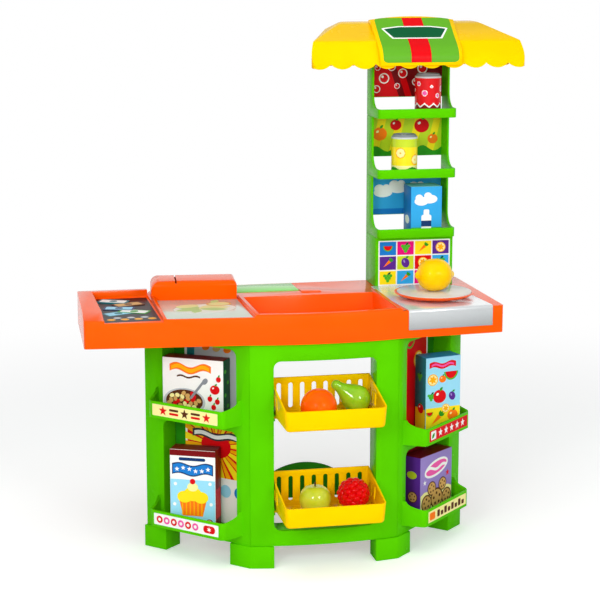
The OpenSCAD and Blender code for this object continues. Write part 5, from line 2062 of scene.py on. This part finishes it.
@dataclass
class Studio:
    """Camera, floor and light. Places in metres, turns in degrees."""

    camera_place: Place = (-0.7463, -3.4101, 1.1878)
    camera_turn: Place = (78.941, 0.0, -11.801)
    lens: float = 107.875
    sensor: float = 36.0
    floor_r: float = 9.0
    floor_drop: float = 0.0004
    floor_colour: Colour = (0.86, 0.87, 0.86)
    floor_dim: Colour = (0.3, 0.3, 0.3)
    floor_glow: float = 0.36
    floor_near: float = 0.85
    floor_far: float = 2.4
    air: Colour = (0.97, 0.985, 1.0)
    ambient: float = 0.4
    room: float = 0.4
    lamps: tuple[Lamp, ...] = (Lamp("key_lamp", (-2.7, -3.3, 1.9), 2.4, 29.0, False),
                               Lamp("fill_lamp", (2.6, -2.9, 1.3), 2.4, 18.0, False),
                               Lamp("front_lamp", (-0.6, -4.0, 1.1), 1.6, 25.0, False),
                               Lamp("top_lamp", (-0.4, -0.9, 2.7), 2.2, 25.0, False),
                               Lamp("left_highlight", (-1.7, -2.9, 1.7), 0.7, 22.0, True),
                               Lamp("right_highlight", (1.1, -3.0, 1.6), 0.7, 17.0, True))

    def build(self) -> None:
        """Builds the camera, floor, lamps and world."""
        scene = bpy.context.scene
        scene.view_settings.view_transform = "Standard"
        data = bpy.data.cameras.new("camera")
        data.lens = self.lens
        data.sensor_width = self.sensor
        camera = bpy.data.objects.new("camera", data)
        camera.location = self.camera_place
        camera.rotation_euler = [math.radians(a) for a in self.camera_turn]
        scene.collection.objects.link(camera)
        scene.camera = camera
        self.floor()
        for lamp in self.lamps:
            lamp.build()
        self.world()
        log.info("studio with %d lamps", len(self.lamps))

    def floor(self) -> None:
        """Lays the pale floor: it keeps the stall's shadow and runs out into white."""
        shape = bmesh.new()
        bmesh.ops.create_circle(shape, cap_ends=True, segments=96, radius=self.floor_r)
        mesh = mesh_from(shape, "studio_floor")
        mesh.materials.append(self.floor_material())
        floor = bpy.data.objects.new("studio_floor", mesh)
        floor.location.z = -self.floor_drop
        bpy.context.scene.collection.objects.link(floor)

    def floor_material(self) -> bpy.types.Material:
        """Makes the floor's material, which shiny faces see dim in front and white behind.

        Returns:
            The material.
        """
        material = bpy.data.materials.new("studio_floor")
        material.use_nodes = True
        tree = NodeTree(material.node_tree)
        ray = tree.add("ShaderNodeLightPath")
        matte = tree.add("ShaderNodeBsdfDiffuse", {"Color": (*self.floor_colour, 1.0)})
        dim = tree.add("ShaderNodeBsdfDiffuse", {"Color": (*self.floor_dim, 1.0)})
        white = tree.add("ShaderNodeEmission")
        lit = tree.add("ShaderNodeAddShader")
        tree.link(matte, 0, lit, 0)
        tree.link(tree.add("ShaderNodeEmission", {"Strength": self.floor_glow}), 0, lit, 1)
        place = tree.add("ShaderNodeTexCoord")
        reach = tree.add("ShaderNodeVectorMath", operation="LENGTH")
        tree.link(place, "Object", reach, 0)
        run_out = tree.add("ShaderNodeMapRange", {"From Min": self.floor_near, "From Max": self.floor_far},
                           interpolation_type="SMOOTHSTEP")
        tree.link(reach, "Value", run_out, "Value")
        apart = tree.add("ShaderNodeSeparateXYZ")
        tree.link(place, "Object", apart, 0)
        behind = tree.add("ShaderNodeMapRange")
        tree.link(apart, "Y", behind, "Value")
        shown = tree.mixed(matte, tree.mixed(lit, white, run_out, "Result"), ray, "Is Camera Ray")
        mirrored = tree.mixed(shown, tree.mixed(dim, white, behind, "Result"), ray, "Is Glossy Ray")
        tree.link(mirrored, "Shader", tree.add("ShaderNodeOutputMaterial"), "Surface")
        return material

    def world(self) -> None:
        """Lights the air softly, shows white behind the stall and a dim room to shiny faces."""
        world = bpy.data.worlds.new("studio_world")
        bpy.context.scene.world = world
        world.use_nodes = True
        tree = NodeTree(world.node_tree)
        ray = tree.add("ShaderNodeLightPath")
        mixed = tree.add("ShaderNodeBackground", {"Color": (*self.air, 1.0), "Strength": self.ambient})
        white = tree.add("ShaderNodeBackground", {"Color": (*FULL_WHITE, 1.0)})
        dim = tree.add("ShaderNodeBackground", {"Color": (*FULL_WHITE, 1.0), "Strength": self.room})
        mirrored = tree.mixed(dim, white, self.backdrop(tree), "Value")
        for key, seen in (("Is Camera Ray", white), ("Is Glossy Ray", mirrored),
                          ("Is Transmission Ray", white)):
            mixed = tree.mixed(mixed, seen, ray, key)
        tree.link(mixed, "Shader", tree.add("ShaderNodeOutputWorld"), "Surface")

    def backdrop(self, tree: NodeTree) -> Node:
        """Adds the share of white backdrop in a direction: behind the stall and not overhead.

        Args:
            tree: The world's tree.

        Returns:
            The node that gives the share.
        """
        apart = tree.add("ShaderNodeSeparateXYZ")
        tree.link(tree.add("ShaderNodeTexCoord"), "Object", apart, 0)
        share = tree.add("ShaderNodeMath", operation="MULTIPLY")
        for k, (axis, start, end) in enumerate((("Y", 0.0, 0.4), ("Z", 0.8, 0.4))):
            ramp = tree.add("ShaderNodeMapRange", {"From Min": start, "From Max": end})
            tree.link(apart, axis, ramp, "Value")
            tree.link(ramp, "Result", share, k)
        return share


PACKS = (
    CerealBox("cereal_box", 128.0, 36.0, 117.0, -31.0, Ink.WHITE, Ink.DARK_GREEN, Ink.DARK_RED),
    SnackBox("snack_box", 93.0, 40.0, 160.0, -25.0, Ink.WHITE, Ink.DARK_RED, Ink.DARK_RED),
    FruitBox("fruit_box", 81.0, 43.0, 153.0, 14.3, Ink.SKY, Ink.TEAL, Ink.CYAN),
    CookieBox("cookie_box", 113.0, 42.0, 120.0, 39.8, Ink.LILAC, Ink.PURPLE, Ink.DARK_RED),
    MilkCarton("milk_carton", 66.0, 58.0, 101.0, 0.0, Ink.CYAN, Ink.BLUE, Ink.SKY),
)


def main() -> None:
    """Builds the stall's looks in order."""
    logging.basicConfig(level=logging.INFO, format="%(message)s")
    groups = (Studio(), Base(), Counter(), Scale(), Tower(), Awning(), Baskets(), PlayFood(), Cans(),
              Fastenings())
    for group in groups + PACKS:
        group.build()
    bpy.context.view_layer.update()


if __name__ == "__main__":
    main()
